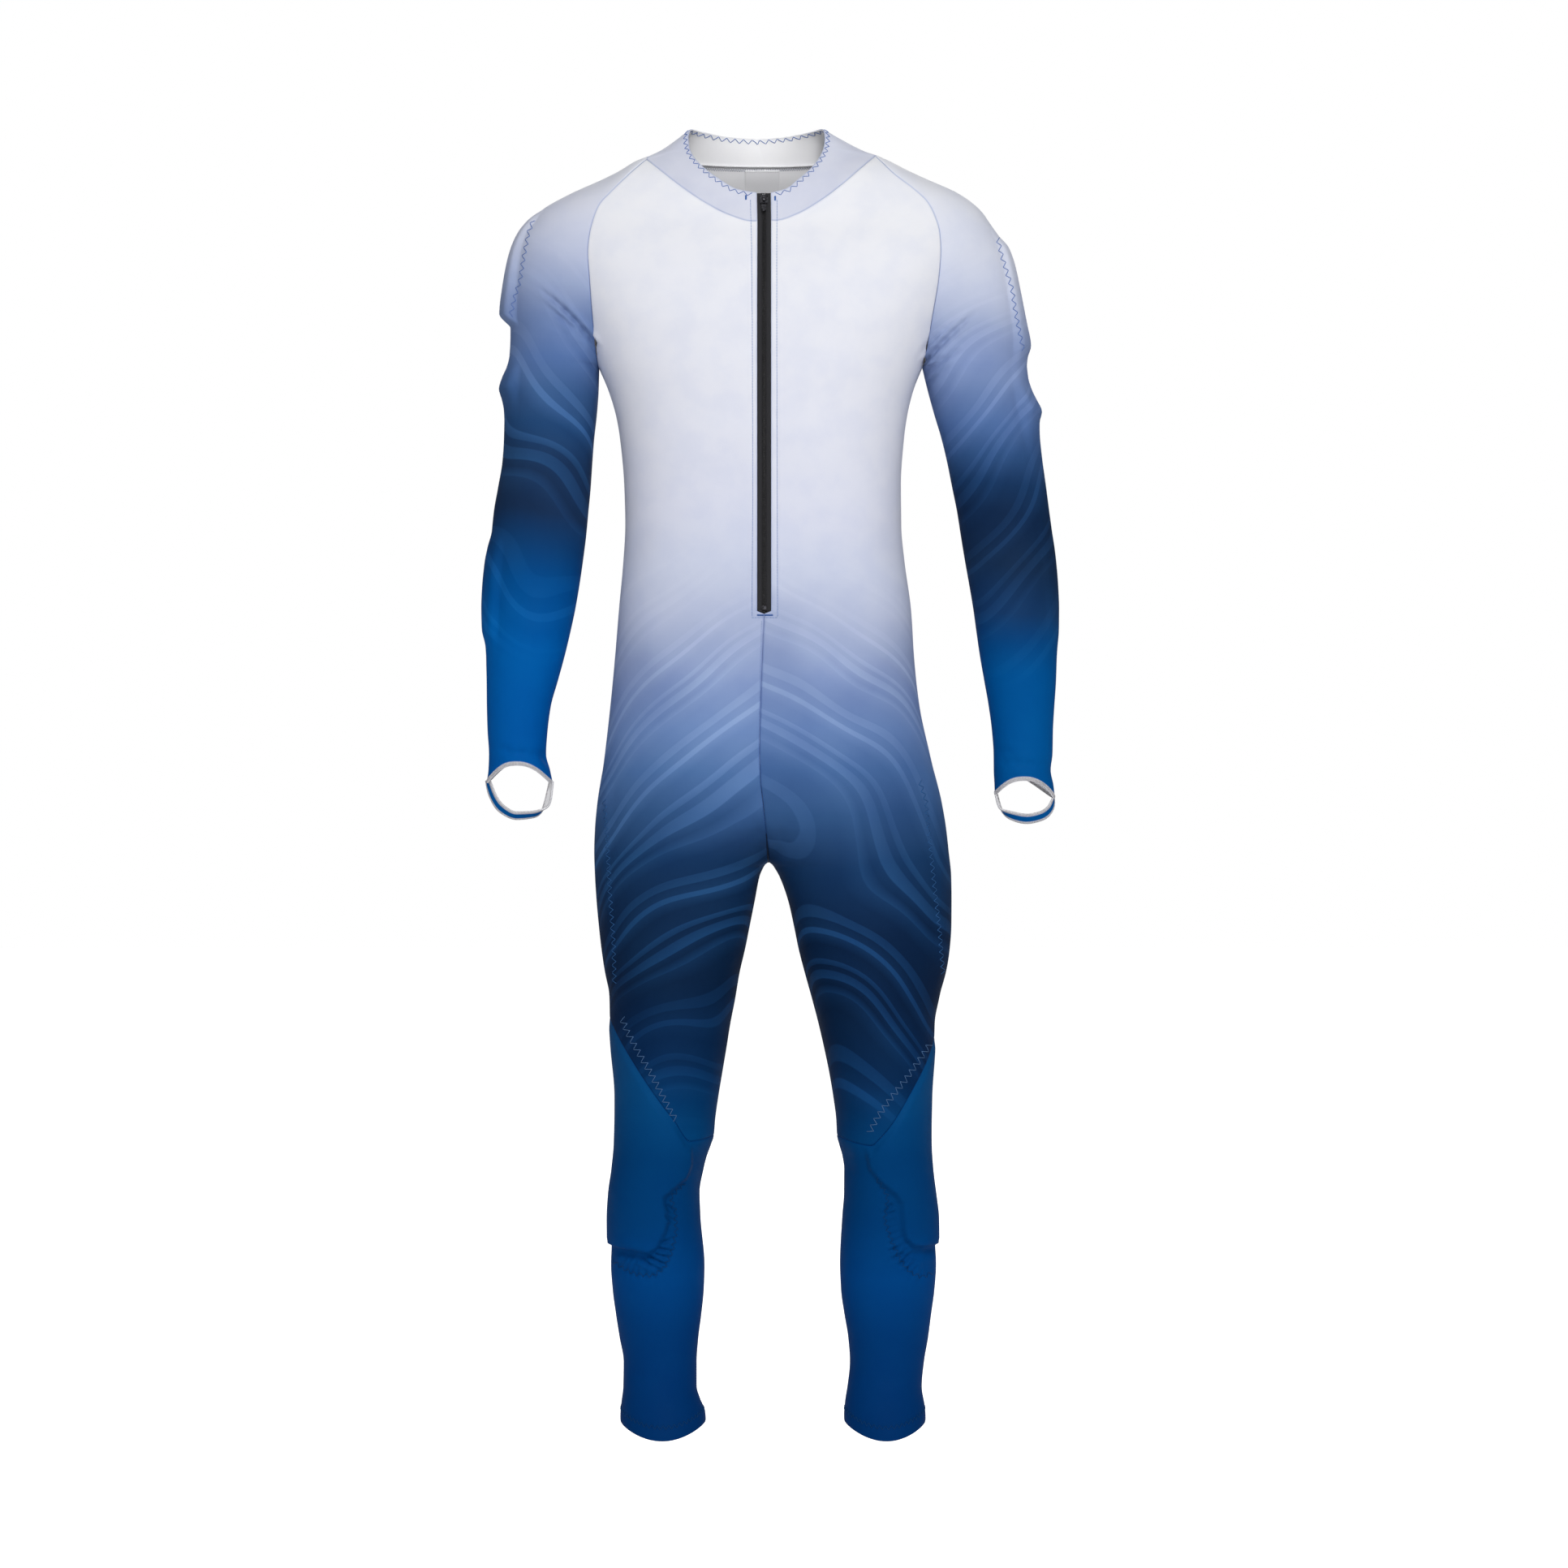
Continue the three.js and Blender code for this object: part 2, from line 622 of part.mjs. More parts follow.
// One level row of a panel, from the middle line or inseam to the side seam.
function bodyRow(side, z, columns, back) {
  const start = back && z > ZIP_BOTTOM ? 0 : startAngle(side, z);
  return Array.from({ length: columns + 1 }, (_, i) => {
    const angle = mix(start, 90, i / columns);
    return bodyPoint(side, z, back ? 180 - angle : angle);
  });
}

// One row between the slanting knee seam (share 0) and the lowest level row (share 1).
function kneeRow(side, share, columns, back) {
  const seamAngles = (back ? KNEE_BACK_ANGLES : KNEE_FRONT_ANGLES)[sideName(side)];
  return seamAngles.map((seamAngle, i) => {
    const angle = mix(seamAngle, mix(-90, 90, i / columns), share);
    const z = mix(kneeSeam(side, angle), THIGH_EVEN, share);
    return bodyPoint(side, z, back ? 180 - angle : angle);
  });
}

function bodyPanel(side, columns, back) {
  return [
    ...KNEE_SHARES.map((share) => kneeRow(side, share, columns, back)),
    ...BODY_ROWS.map((z) => bodyRow(side, z, columns, back)),
    ...CAP_ROWS.map((_, row) => chestRow(side, row, columns, back)),
  ];
}

function armPad(side, z, angle) {
  const [start, full, end, gone] = ARM_PAD_EDGES;
  return ARM_PAD[sideName(side)](z) * ramp(angle, start, full) * (1 - ramp(angle, end, gone));
}

// Lower edge of the sleeve at an angle round the wrist: it dips to each end of the hand loop.
function cuffEdge(side, angle) {
  const cuff = CUFF[sideName(side)];
  const out = Math.sin(radians(angle));
  const level = Math.cos(radians(angle)) > 0 ? cuff.front : cuff.back;
  return mix(level, out > 0 ? cuff.outer : cuff.inner, out * out);
}

function sleevePoint(side, z, angle) {
  const name = sideName(side);
  const outer = SLEEVE[name + "Outer"](z);
  const inner = SLEEVE[name + "Inner"](z);
  const rise = armPad(side, z, angle);
  const out = Math.sin(radians(angle));
  const ahead = Math.cos(radians(angle));
  return point(
    side * ((outer + inner) / 2 + ((outer - inner) / 2 + rise) * out),
    SLEEVE.centre(z) - (SLEEVE.depth(z) + rise) * ahead,
    z,
  );
}

// One arc of the sleeve's cap, from the front raglan seam over the shoulder to the back one. Each
// half is part of an ellipse that starts at its seam and ends square to the shoulder line.
function capRow(side, row) {
  const top = shoulderPoint(side, side === RIGHT ? row.topRight : row.topLeft);
  const halfArc = (back) => {
    const seam = raglanPoint(side, row.raglan, back);
    const start = back ? row.back : row.front;
    const along = point(top.x - seam.x, 0, top.z - seam.z);
    const half = along.length() / (1 - Math.sin(radians(start)));
    const depth = (seam.y - SHOULDER_Y) / Math.cos(radians(start));
    along.normalize();
    return (ringAngle) => {
      const share = (back ? 270 - ringAngle : ringAngle + 90) / 180;
      const angle = radians(mix(start, 90, share));
      const crease = back ? 0 : row.fold * ramp(share, ...FOLD_START) * (1 - ramp(share, ...FOLD_END));
      const rise = armPad(side, top.z, ringAngle) + crease;
      const lift = Math.sin(angle);
      return top.clone()
        .addScaledVector(along, half * (lift - 1) + rise * lift)
        .add(point(0, (depth + Math.sign(depth) * rise) * Math.cos(angle), 0));
    };
  };
  const front = halfArc(false);
  const back = halfArc(true);
  return SLEEVE_ANGLES.map((angle) => (angle <= 90 ? front(angle) : back(angle)));
}

function sleeveRows(side) {
  const edge = SLEEVE_ANGLES.map((angle) => sleevePoint(side, cuffEdge(side, angle), angle));
  const tube = SLEEVE_ROWS.map((z) => SLEEVE_ANGLES.map((angle) => sleevePoint(side, z, angle)));
  return { tube: [edge, ...tube], cap: CAP_ROWS.map((row) => capRow(side, row)) };
}

// The lower leg's shape, with the shin pad and the gathers of the stitching round it.
function shinPoint(side, z, angle) {
  const edge = SHIN_PAD[sideName(side) + "Edge"](z);
  const height = SHIN_PAD[sideName(side)](z);
  const rise = ramp(angle, edge - SHIN_PAD_SLOPE, edge + SHIN_PAD_SLOPE)
    * (1 - ramp(angle, SHIN_PAD_BACK - SHIN_PAD_SLOPE, SHIN_PAD_BACK + SHIN_PAD_SLOPE))
    * mix(1, SHIN_PAD_SIDE, ramp(angle, ...SHIN_PAD_FADE))
    * ramp(kneeSeam(side, angle) - z, 0, SHIN_PAD_START);
  return bodyPoint(side, z, angle, height * rise);
}

// Angles of one row of the lower leg. Its columns follow the pad's edges.
function shinAngles(side, z) {
  const edge = SHIN_PAD[sideName(side) + "Edge"](z);
  const spread = (from, to, count) =>
    Array.from({ length: count }, (_, i) => mix(from, to, i / count));
  return [
    ...spread(-90, edge - SHIN_PAD_SLOPE, SHIN_INNER_COLUMNS),
    ...spread(edge - SHIN_PAD_SLOPE, edge + SHIN_PAD_SLOPE, 1),
    ...spread(edge + SHIN_PAD_SLOPE, SHIN_PAD_BACK - SHIN_PAD_SLOPE, SHIN_PAD_COLUMNS),
    ...spread(SHIN_PAD_BACK - SHIN_PAD_SLOPE, SHIN_PAD_BACK + SHIN_PAD_SLOPE, 1),
    ...spread(SHIN_PAD_BACK + SHIN_PAD_SLOPE, RING_END, SHIN_BACK_COLUMNS),
  ];
}

function hemEdge(angle) {
  const across = Math.sin(radians(angle)) ** 2;
  return mix(Math.cos(radians(angle)) > 0 ? HEM.front : HEM.back, HEM.side, across);
}

// Gathers: every other row pulls in beside the pad's inner edge, and every other column under it.
function gather(row, column, z) {
  if (z > GATHER_TOP || z < GATHER_BOTTOM) return 0;
  const besideEdge = column === SHIN_INNER_COLUMNS && z > SHIN_PAD_BOTTOM;
  const underPad = z <= SHIN_PAD_BOTTOM && column >= SHIN_INNER_COLUMNS
    && column <= SHIN_INNER_COLUMNS + SHIN_PAD_COLUMNS - 1;
  if (besideEdge) return row % 2 ? -GATHER_DEPTH : 0;
  if (underPad) return column % 2 ? -GATHER_DEPTH : 0;
  return 0;
}

// The lower leg's top ring has the same points as the edges of the body panels.
function lowerLegRows(side) {
  const frontAngles = KNEE_FRONT_ANGLES[sideName(side)];
  const backAngles = KNEE_BACK_ANGLES[sideName(side)].map((angle) => 180 - angle).reverse();
  const seamAngles = [...frontAngles, ...backAngles.slice(1, -1)];
  const top = seamAngles.map((angle) => bodyPoint(side, kneeSeam(side, angle), angle));
  const levelAngles = shinAngles(side, SHIN_EVEN);
  const blended = SHIN_BLEND.map((share) => levelAngles.map((angle) => {
    const z = mix(kneeSeam(side, angle), SHIN_EVEN, share);
    return shinPoint(side, z, angle);
  }));
  const level = SHIN_ROWS.map((z, row) => shinAngles(side, z).map((angle, column) => {
    const moved = shinPoint(side, z, angle);
    const pull = gather(row, column, z);
    moved.x += side * pull * Math.sin(radians(angle));
    moved.y -= pull * Math.cos(radians(angle));
    return moved;
  }));
  const hem = shinAngles(side, HEM.side).map((angle) => shinPoint(side, hemEdge(angle), angle));
  return { top, seamAngles, rows: [...blended, ...level, hem] };
}

// All the cloth as one surface with shared points, so that neighbours have the same normals along
// their seams. Each face belongs to a named panel.
class Fabric {
  constructor() {
    this.points = [];
    this.known = new Map();
    this.faces = [];
  }

  vertex(p) {
    const key = [p.x, p.y, p.z].map((value) => Math.round(value / WELD)).join();
    if (!this.known.has(key)) {
      this.known.set(key, this.points.length);
      this.points.push(p.clone());
    }
    return this.known.get(key);
  }

  triangle(panel, a, b, c) {
    if (a !== b && b !== c && c !== a) this.faces.push({ panel, corners: [a, b, c] });
  }

  // The corners go anticlockwise as seen from outside. The shorter diagonal splits it.
  quad(panel, a, b, c, d) {
    const ids = [a, b, c, d].map((p) => this.vertex(p));
    if (a.distanceTo(c) <= b.distanceTo(d)) {
      this.triangle(panel, ids[0], ids[1], ids[2]);
      this.triangle(panel, ids[0], ids[2], ids[3]);
    } else {
      this.triangle(panel, ids[0], ids[1], ids[3]);
      this.triangle(panel, ids[1], ids[2], ids[3]);
    }
  }

  // Rows of points from low to high. "flip" turns the faces round.
  sheet(panel, rows, flip, closed = false) {
    for (let r = 0; r + 1 < rows.length; r += 1) {
      const count = rows[r].length;
      for (let c = 0; c + 1 < count + (closed ? 1 : 0); c += 1) {
        const next = (c + 1) % count;
        const corners = [rows[r][c], rows[r][next], rows[r + 1][next], rows[r + 1][c]];
        this.quad(panel, ...(flip ? corners.reverse() : corners));
      }
    }
  }

  // Triangles between two closed rings with different numbers of points.
  stitch(panel, low, high, flip) {
    let i = 0;
    let j = 0;
    const at = (ring, index) => this.vertex(ring.points[index % ring.points.length]);
    const nextAngle = (ring, index) => {
      if (index === ring.points.length) return Infinity;
      return index + 1 < ring.points.length ? ring.angles[index + 1] : RING_END;
    };
    while (i < low.points.length || j < high.points.length) {
      const lowNext = nextAngle(low, i);
      const highNext = nextAngle(high, j);
      const corners = lowNext <= highNext
        ? [at(low, i), at(low, i + 1), at(high, j)]
        : [at(low, i), at(high, j + 1), at(high, j)];
      this.triangle(panel, ...(flip ? corners.reverse() : corners));
      if (lowNext <= highNext) i += 1;
      else j += 1;
    }
  }

  normals() {
    const sums = this.points.map(() => point(0, 0, 0));
    for (const { corners } of this.faces) {
      const [a, b, c] = corners.map((id) => this.points[id]);
      const normal = b.clone().sub(a).cross(c.clone().sub(a)).normalize();
      corners.forEach((id, k) => {
        const corner = this.points[id];
        const one = this.points[corners[(k + 1) % 3]].clone().sub(corner);
        const two = this.points[corners[(k + 2) % 3]].clone().sub(corner);
        sums[id].addScaledVector(normal, one.angleTo(two));
      });
    }
    return sums.map((sum) => sum.normalize());
  }
}

// Turns a panel's faces into a wall: the outer points, the same points moved in by the thickness,
// and a rim along every free edge, split the same way on both sides of a seam. The edges are first
// drawn back by half the seam gap.
function wallGeometry(fabric, normals, panel, thickness) {
  const faces = fabric.faces.filter((face) => face.panel === panel);
  const edges = new Map();
  for (const { corners } of faces) {
    corners.forEach((a, k) => {
      const b = corners[(k + 1) % 3];
      edges.set(`${a},${b}`, { a, b, third: corners[(k + 2) % 3] });
    });
  }
  const rim = [...edges.values()].filter(({ a, b }) => !edges.has(`${b},${a}`));
  const pulls = new Map();
  for (const { a, b, third } of rim) {
    const along = fabric.points[b].clone().sub(fabric.points[a]).normalize();
    const inward = fabric.points[third].clone().sub(fabric.points[a]);
    inward.addScaledVector(along, -inward.dot(along)).normalize();
    for (const id of [a, b]) pulls.set(id, [...(pulls.get(id) ?? []), inward]);
  }
  const moved = (id) => {
    const p = fabric.points[id].clone();
    if (!pulls.has(id)) return p;
    const [one, two] = [pulls.get(id)[0], pulls.get(id)[1] ?? pulls.get(id)[0]];
    const pull = one.clone().add(two);
    const spread = Math.max(pull.lengthSq() / 2, 0.5);
    return p.addScaledVector(pull, SEAM / 2 / spread);
  };
  const ids = [...new Set(faces.flatMap((face) => face.corners))];
  const place = new Map(ids.map((id, i) => [id, i]));
  const outer = ids.map(moved);
  const inner = outer.map((p, i) => p.clone().addScaledVector(normals[ids[i]], -thickness));
  const count = ids.length;
  const triangles = [];
  for (const { corners } of faces) {
    const [a, b, c] = corners.map((id) => place.get(id));
    triangles.push([a, b, c], [a + count, c + count, b + count]);
  }
  for (const { a, b } of rim) {
    const [p, q] = [place.get(a), place.get(b)];
    if (a < b) triangles.push([p, p + count, q + count], [p, q + count, q]);
    else triangles.push([p, p + count, q], [q, p + count, q + count]);
  }
  return meshGeometry([...outer, ...inner], triangles);
}

function meshGeometry(points, triangles) {
  const geometry = new THREE.BufferGeometry();
  geometry.setAttribute("position", new THREE.Float32BufferAttribute(points.flatMap((p) => p.toArray()), 3));
  geometry.setIndex(triangles.flat());
  geometry.computeVertexNormals();
  return geometry;
}

// A strip of rectangular section through stations, each with its middle, its width direction and
// its outward direction. "low" and "high" are the section's sides, and "outer" its raised face.
function ribbonGeometry(stations, low, high, outer, thickness) {
  const points = stations.flatMap(({ middle, across, out }) => [
    [low, outer], [high, outer], [high, outer - thickness], [low, outer - thickness],
  ].map(([u, v]) => middle.clone().addScaledVector(across, u).addScaledVector(out, v)));
  const triangles = [];
  for (let s = 0; s + 1 < stations.length; s += 1) {
    for (let k = 0; k < 4; k += 1) {
      const [a, b] = [4 * s + k, 4 * s + ((k + 1) % 4)];
      triangles.push([a, b, b + 4], [a, b + 4, a + 4]);
    }
  }
  const last = 4 * (stations.length - 1);
  triangles.push([0, 2, 1], [0, 3, 2], [last, last + 1, last + 2], [last, last + 2, last + 3]);
  const solid = volumeOf(points, triangles);
  return meshGeometry(points, solid > 0 ? triangles : triangles.map(([a, b, c]) => [a, c, b]));
}

function volumeOf(points, triangles) {
  return triangles.reduce((sum, [a, b, c]) =>
    sum + points[a].dot(points[b].clone().cross(points[c])) / 6, 0);
}

// Middle of the zip at a height: on the front below the neck seam, and then up the collar.
function zipPoint(z) {
  const neck = point(0, PROFILE.centre(FRONT_NECK) - PROFILE.front(FRONT_NECK), FRONT_NECK);
  if (z <= FRONT_NECK) return point(WIDTH.middle(z), PROFILE.centre(z) - PROFILE.front(z), z);
  const rim = point(RIM.middle(0), RIM.y(0), RIM.z(0));
  return neck.lerp(rim, (z - neck.z) / (rim.z - neck.z));
}

// The zip's directions at a height: across it, up it and out of the cloth.
function zipStation(z) {
  const across = point(1, 0, 0);
  const along = zipPoint(z + 1).sub(zipPoint(z - 1)).setX(0).normalize();
  return { middle: zipPoint(z), across, along, out: across.clone().cross(along) };
}

function zipStations(from, to) {
  return Array.from({ length: ZIP_STEPS + 1 }, (_, i) => zipStation(mix(from, to, i / ZIP_STEPS)));
}

// A closed geometry as a solid, and back.
function toSolid(geometry) {
  const bare = geometry.clone();
  bare.deleteAttribute("normal");
  bare.deleteAttribute("uv");
  const merged = mergeVertices(bare, 1e-4);
  return new wasm.Manifold(new wasm.Mesh({
    numProp: 3,
    vertProperties: merged.attributes.position.array,
    triVerts: new Uint32Array(merged.index.array),
  }));
}

function fromSolid(solid) {
  const mesh = solid.getMesh();
  const geometry = new THREE.BufferGeometry();
  geometry.setAttribute("position", new THREE.BufferAttribute(mesh.vertProperties, 3));
  geometry.setIndex(new THREE.BufferAttribute(mesh.triVerts, 1));
  geometry.computeVertexNormals();
  return geometry;
}

function roundedPlate(width, length, thickness, radius) {
  const [x, y] = [width / 2, length / 2];
  const shape = new THREE.Shape();
  shape.absarc(x - radius, y - radius, radius, 0, Math.PI / 2);
  shape.absarc(-x + radius, y - radius, radius, Math.PI / 2, Math.PI);
  shape.absarc(-x + radius, -y + radius, radius, Math.PI, Math.PI * 1.5);
  shape.absarc(x - radius, -y + radius, radius, Math.PI * 1.5, Math.PI * 2);
  return new THREE.ExtrudeGeometry(shape, { depth: thickness, bevelEnabled: false, curveSegments: 3 });
}

// Slider in its own frame: X across, Y up the zip, Z outwards, with z = 0 on the chain.
function sliderGeometry() {
  const plate = roundedPlate(SLIDER.width, SLIDER.length, SLIDER.thick, SLIDER.corner);
  const arch = new THREE.Shape();
  arch.moveTo(-BRIDGE.foot, -BRIDGE.sunk);
  arch.lineTo(-BRIDGE.foot, BRIDGE.rise - BRIDGE.round);
  arch.quadraticCurveTo(-BRIDGE.foot, BRIDGE.rise, 0, BRIDGE.rise);
  arch.quadraticCurveTo(BRIDGE.foot, BRIDGE.rise, BRIDGE.foot, BRIDGE.rise - BRIDGE.round);
  arch.lineTo(BRIDGE.foot, -BRIDGE.sunk);
  arch.lineTo(BRIDGE.inside, -BRIDGE.sunk);
  arch.lineTo(BRIDGE.inside, BRIDGE.insideRise);
  arch.lineTo(-BRIDGE.inside, BRIDGE.insideRise);
  arch.lineTo(-BRIDGE.inside, -BRIDGE.sunk);
  const bridge = new THREE.ExtrudeGeometry(arch, {
    depth: BRIDGE.width, bevelEnabled: false, curveSegments: 4,
  });
  bridge.translate(0, 0, -BRIDGE.width / 2);
  bridge.rotateX(Math.PI / 2);
  bridge.rotateZ(Math.PI / 2);
  bridge.translate(0, 0, SLIDER.thick);
  return fromSolid(toSolid(plate).add(toSolid(bridge)));
}

// Pull tab in the same frame, hanging down the zip, with a window that the bridge passes through.
function pullGeometry() {
  const half = PULL.width / 2;
  const tab = new THREE.Shape();
  tab.moveTo(-half, PULL.barHalf);
  tab.lineTo(-half, -PULL.length + half);
  tab.absarc(0, -PULL.length + half, half, Math.PI, Math.PI * 2);
  tab.lineTo(half, PULL.barHalf);
  tab.lineTo(-half, PULL.barHalf);
  const window = new THREE.Path();
  const inside = half - PULL.rail;
  window.moveTo(-inside, -PULL.barHalf);
  window.lineTo(inside, -PULL.barHalf);
  window.lineTo(inside, -PULL.window);
  window.lineTo(-inside, -PULL.window);
  window.lineTo(-inside, -PULL.barHalf);
  tab.holes.push(window);
  const plate = new THREE.ExtrudeGeometry(tab, {
    depth: PULL.thick, bevelEnabled: false, curveSegments: 6,
  });
  plate.translate(0, PULL.axisAt, SLIDER.thick + PULL.axisRise - PULL.thick / 2);
  return plate;
}

// The collar's base is the top edge of the front panel, sleeve and back panel of one side.
function collarRows(side, front, sleeve, back) {
  const base = [...front, ...sleeve.slice(1), ...[...back].reverse().slice(1)];
  const lengths = base.map((p, i) => (i ? p.distanceTo(base[i - 1]) : 0));
  const total = lengths.reduce((sum, length) => sum + length, 0);
  let run = 0;
  const rim = base.map((_, i) => {
    run += lengths[i];
    const share = run / total;
    return point(RIM.middle(share) + side * RIM.half(share), RIM.y(share), RIM.z(share));
  });
  return Array.from({ length: COLLAR_ROWS + 1 }, (_, row) =>
    base.map((p, i) => p.clone().lerp(rim[i], row / COLLAR_ROWS)));
}

function buildFabric() {
  const fabric = new Fabric();
  for (const side of SIDES) {
    const name = sideName(side);
    const front = bodyPanel(side, FRONT_COLUMNS, false);
    const back = bodyPanel(side, BACK_COLUMNS, true);
    const { tube, cap } = sleeveRows(side);
    const leg = lowerLegRows(side);
    fabric.sheet(`front_${name}`, front, side === RIGHT);
    fabric.sheet(`back_${name}`, back, side === LEFT);
    const ring = (row) => row.slice(0, -1);
    fabric.sheet(`sleeve_${name}`, tube.map(ring), side === RIGHT, true);
    const root = tube[tube.length - 1].map((p, i, all) => (i === all.length - 1 ? all[0] : p));
    fabric.sheet(`sleeve_${name}`, [root, ...cap], side === RIGHT);
    const rows = [...leg.rows].reverse();
    fabric.sheet(`lower_leg_${name}`, rows, side === RIGHT, true);
    fabric.stitch(`lower_leg_${name}`,
      { points: leg.rows[0], angles: shinAngles(side, SHIN_EVEN) },
      { points: leg.top, angles: leg.seamAngles }, side === RIGHT);
    const collar = collarRows(side, front[front.length - 1], cap[cap.length - 1], back[back.length - 1]);
    fabric.sheet("collar", collar, side === RIGHT);
  }
  return fabric;
}

function handLoop(side) {
  const route = HAND_LOOP[sideName(side)];
  const place = (step) => point(route.x(step), LOOP_Y, route.z(step));
  const stations = Array.from({ length: LOOP_STEPS + 1 }, (_, i) => {
    const step = (LOOP_END * i) / LOOP_STEPS;
    const along = place(step + 0.05).sub(place(step - 0.05)).normalize();
    const across = point(route.leanX(step), -1, route.leanZ(step));
    across.addScaledVector(along, -across.dot(along)).normalize();
    return { middle: place(step), across, out: along.clone().cross(across).normalize() };
  });
  return ribbonGeometry(stations, -LOOP_WIDTH / 2, LOOP_WIDTH / 2, CLOTH / 2, CLOTH);
}

// The point of the back panels behind a place in the front view, moved in from their faces.
function insideBack(fabric, normals, x, z, depth) {
  const place = point(x, 0, z);
  for (const { panel, corners } of fabric.faces) {
    if (!panel.startsWith("back_")) continue;
    const flat = corners.map((id) => fabric.points[id].clone().setY(0));
    const shares = new THREE.Vector3();
    const found = THREE.Triangle.getBarycoord(place, ...flat, shares);
    if (!found || Math.min(...shares.toArray()) < -1e-6) continue;
    return shares.toArray().reduce((sum, share, k) => sum
      .addScaledVector(fabric.points[corners[k]], share)
      .addScaledVector(normals[corners[k]], -share * depth), point(0, 0, 0));
  }
  throw new Error("the label lies off the back panels");
}

function labelGeometry(fabric, normals) {
  const { columns, rows } = LABEL;
  const clear = CLOTH + SEAM;
  const grid = (depth) => Array.from({ length: rows + 1 }, (_, r) =>
    Array.from({ length: columns + 1 }, (_, c) => {
      const x = mix(LABEL.left, LABEL.right, c / columns);
      const z = mix(LABEL.bottom, LABEL.top, r / rows);
      return insideBack(fabric, normals, x, z, clear + depth);
    }));
  const [far, near] = [grid(0), grid(LABEL.thick)];
  const sheet = new Fabric();
  sheet.sheet("label", near, false);
  sheet.sheet("label", far, true);
  for (let c = 0; c < columns; c += 1) {
    sheet.quad("label", far[0][c], far[0][c + 1], near[0][c + 1], near[0][c]);
    sheet.quad("label", near[rows][c], near[rows][c + 1], far[rows][c + 1], far[rows][c]);
  }
  for (let r = 0; r < rows; r += 1) {
    sheet.quad("label", far[r][0], near[r][0], near[r + 1][0], far[r + 1][0]);
    sheet.quad("label", near[r][columns], far[r][columns], far[r + 1][columns], near[r + 1][columns]);
  }
  return meshGeometry(sheet.points, sheet.faces.map((face) => face.corners));
}

const cloth = (colour) => new THREE.MeshStandardMaterial({ color: colour, roughness: 0.55, metalness: 0 });
const MATERIALS = {
  body: cloth(0xdcdfea),
  shin: cloth(0x003c78),
  sleeve: cloth(0x1c4a86),
  collar: cloth(0xdfe1ea),
  tape: new THREE.MeshStandardMaterial({ color: 0x29292c, roughness: 0.7, metalness: 0 }),
  metal: new THREE.MeshStandardMaterial({ color: 0x202022, roughness: 0.35, metalness: 0.8 }),
  label: new THREE.MeshStandardMaterial({ color: 0xe8e9ee, roughness: 0.3, metalness: 0 }),
};

const suit = new THREE.Group();

function addPart(name, geometry, material) {
  const mesh = new THREE.Mesh(geometry, material);
  mesh.name = name;
  suit.add(mesh);
  return mesh;
}

const fabric = buildFabric();
const normals = fabric.normals();
const PANEL_MATERIALS = {
  front_right: MATERIALS.body,
  front_left: MATERIALS.body,
  back_right: MATERIALS.body,
  back_left: MATERIALS.body,
  sleeve_right: MATERIALS.sleeve,
  sleeve_left: MATERIALS.sleeve,
  lower_leg_right: MATERIALS.shin,
  lower_leg_left: MATERIALS.shin,
  collar: MATERIALS.collar,
};
for (const [panel, material] of Object.entries(PANEL_MATERIALS)) {
  addPart(panel, wallGeometry(fabric, normals, panel, CLOTH), material);
}

for (const side of SIDES) {
  addPart(`hand_loop_${sideName(side)}`, handLoop(side), MATERIALS.sleeve);
}

const zipTop = RIM.z(0) - SEAM;
const zipLine = zipStations(ZIP_BOTTOM + ZIP_LIFT, zipTop);
addPart("zip_tape_right",
  ribbonGeometry(zipLine, -TAPE_OUTER, -TAPE_INNER, -TAPE_RECESS, TAPE_THICK), MATERIALS.tape);
addPart("zip_tape_left",
  ribbonGeometry(zipLine, TAPE_INNER, TAPE_OUTER, -TAPE_RECESS, TAPE_THICK), MATERIALS.tape);
addPart("zip_coil",
  ribbonGeometry(zipLine, -COIL_HALF, COIL_HALF, COIL_RISE - TAPE_RECESS, TAPE_THICK + COIL_RISE),
  MATERIALS.tape);

// Hardware stands on the coil in a frame that follows the collar's front.
const hardwareFrame = (z, lift) => {
  const { middle, across, along, out } = zipStation(z);
  const basis = new THREE.Matrix4().makeBasis(across, along, out);
  return basis.setPosition(middle.addScaledVector(out, lift));
};
const coilFace = COIL_RISE - TAPE_RECESS;
const sliderHeight = mix(FRONT_NECK, RIM.z(0), SLIDER.at);
const sliderFrame = hardwareFrame(sliderHeight, coilFace + SEAM);
addPart("zip_slider", sliderGeometry().applyMatrix4(sliderFrame), MATERIALS.metal);
addPart("zip_pull", pullGeometry().applyMatrix4(sliderFrame), MATERIALS.metal);
const stopFrame = hardwareFrame(ZIP_BOTTOM + STOP.above, coilFace + SEAM);
addPart("zip_stop",
  roundedPlate(STOP.width, STOP.length, STOP.thick, STOP.corner).applyMatrix4(stopFrame), MATERIALS.metal);

addPart("neck_label", labelGeometry(fabric, normals), MATERIALS.label);

export default suit;
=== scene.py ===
# Looks of a one-piece ski race suit, filled out as when it is worn: fine cloth shells on the forms of
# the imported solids, with folds, gathers, stitching, a woven zip and a print of flowing ribbons.
# Lengths are millimetres in the part's frame, +Z up and the front along -Y, until a mesh is made.
import math

import bpy
import numpy as np
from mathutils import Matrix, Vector
from mathutils.bvhtree import BVHTree


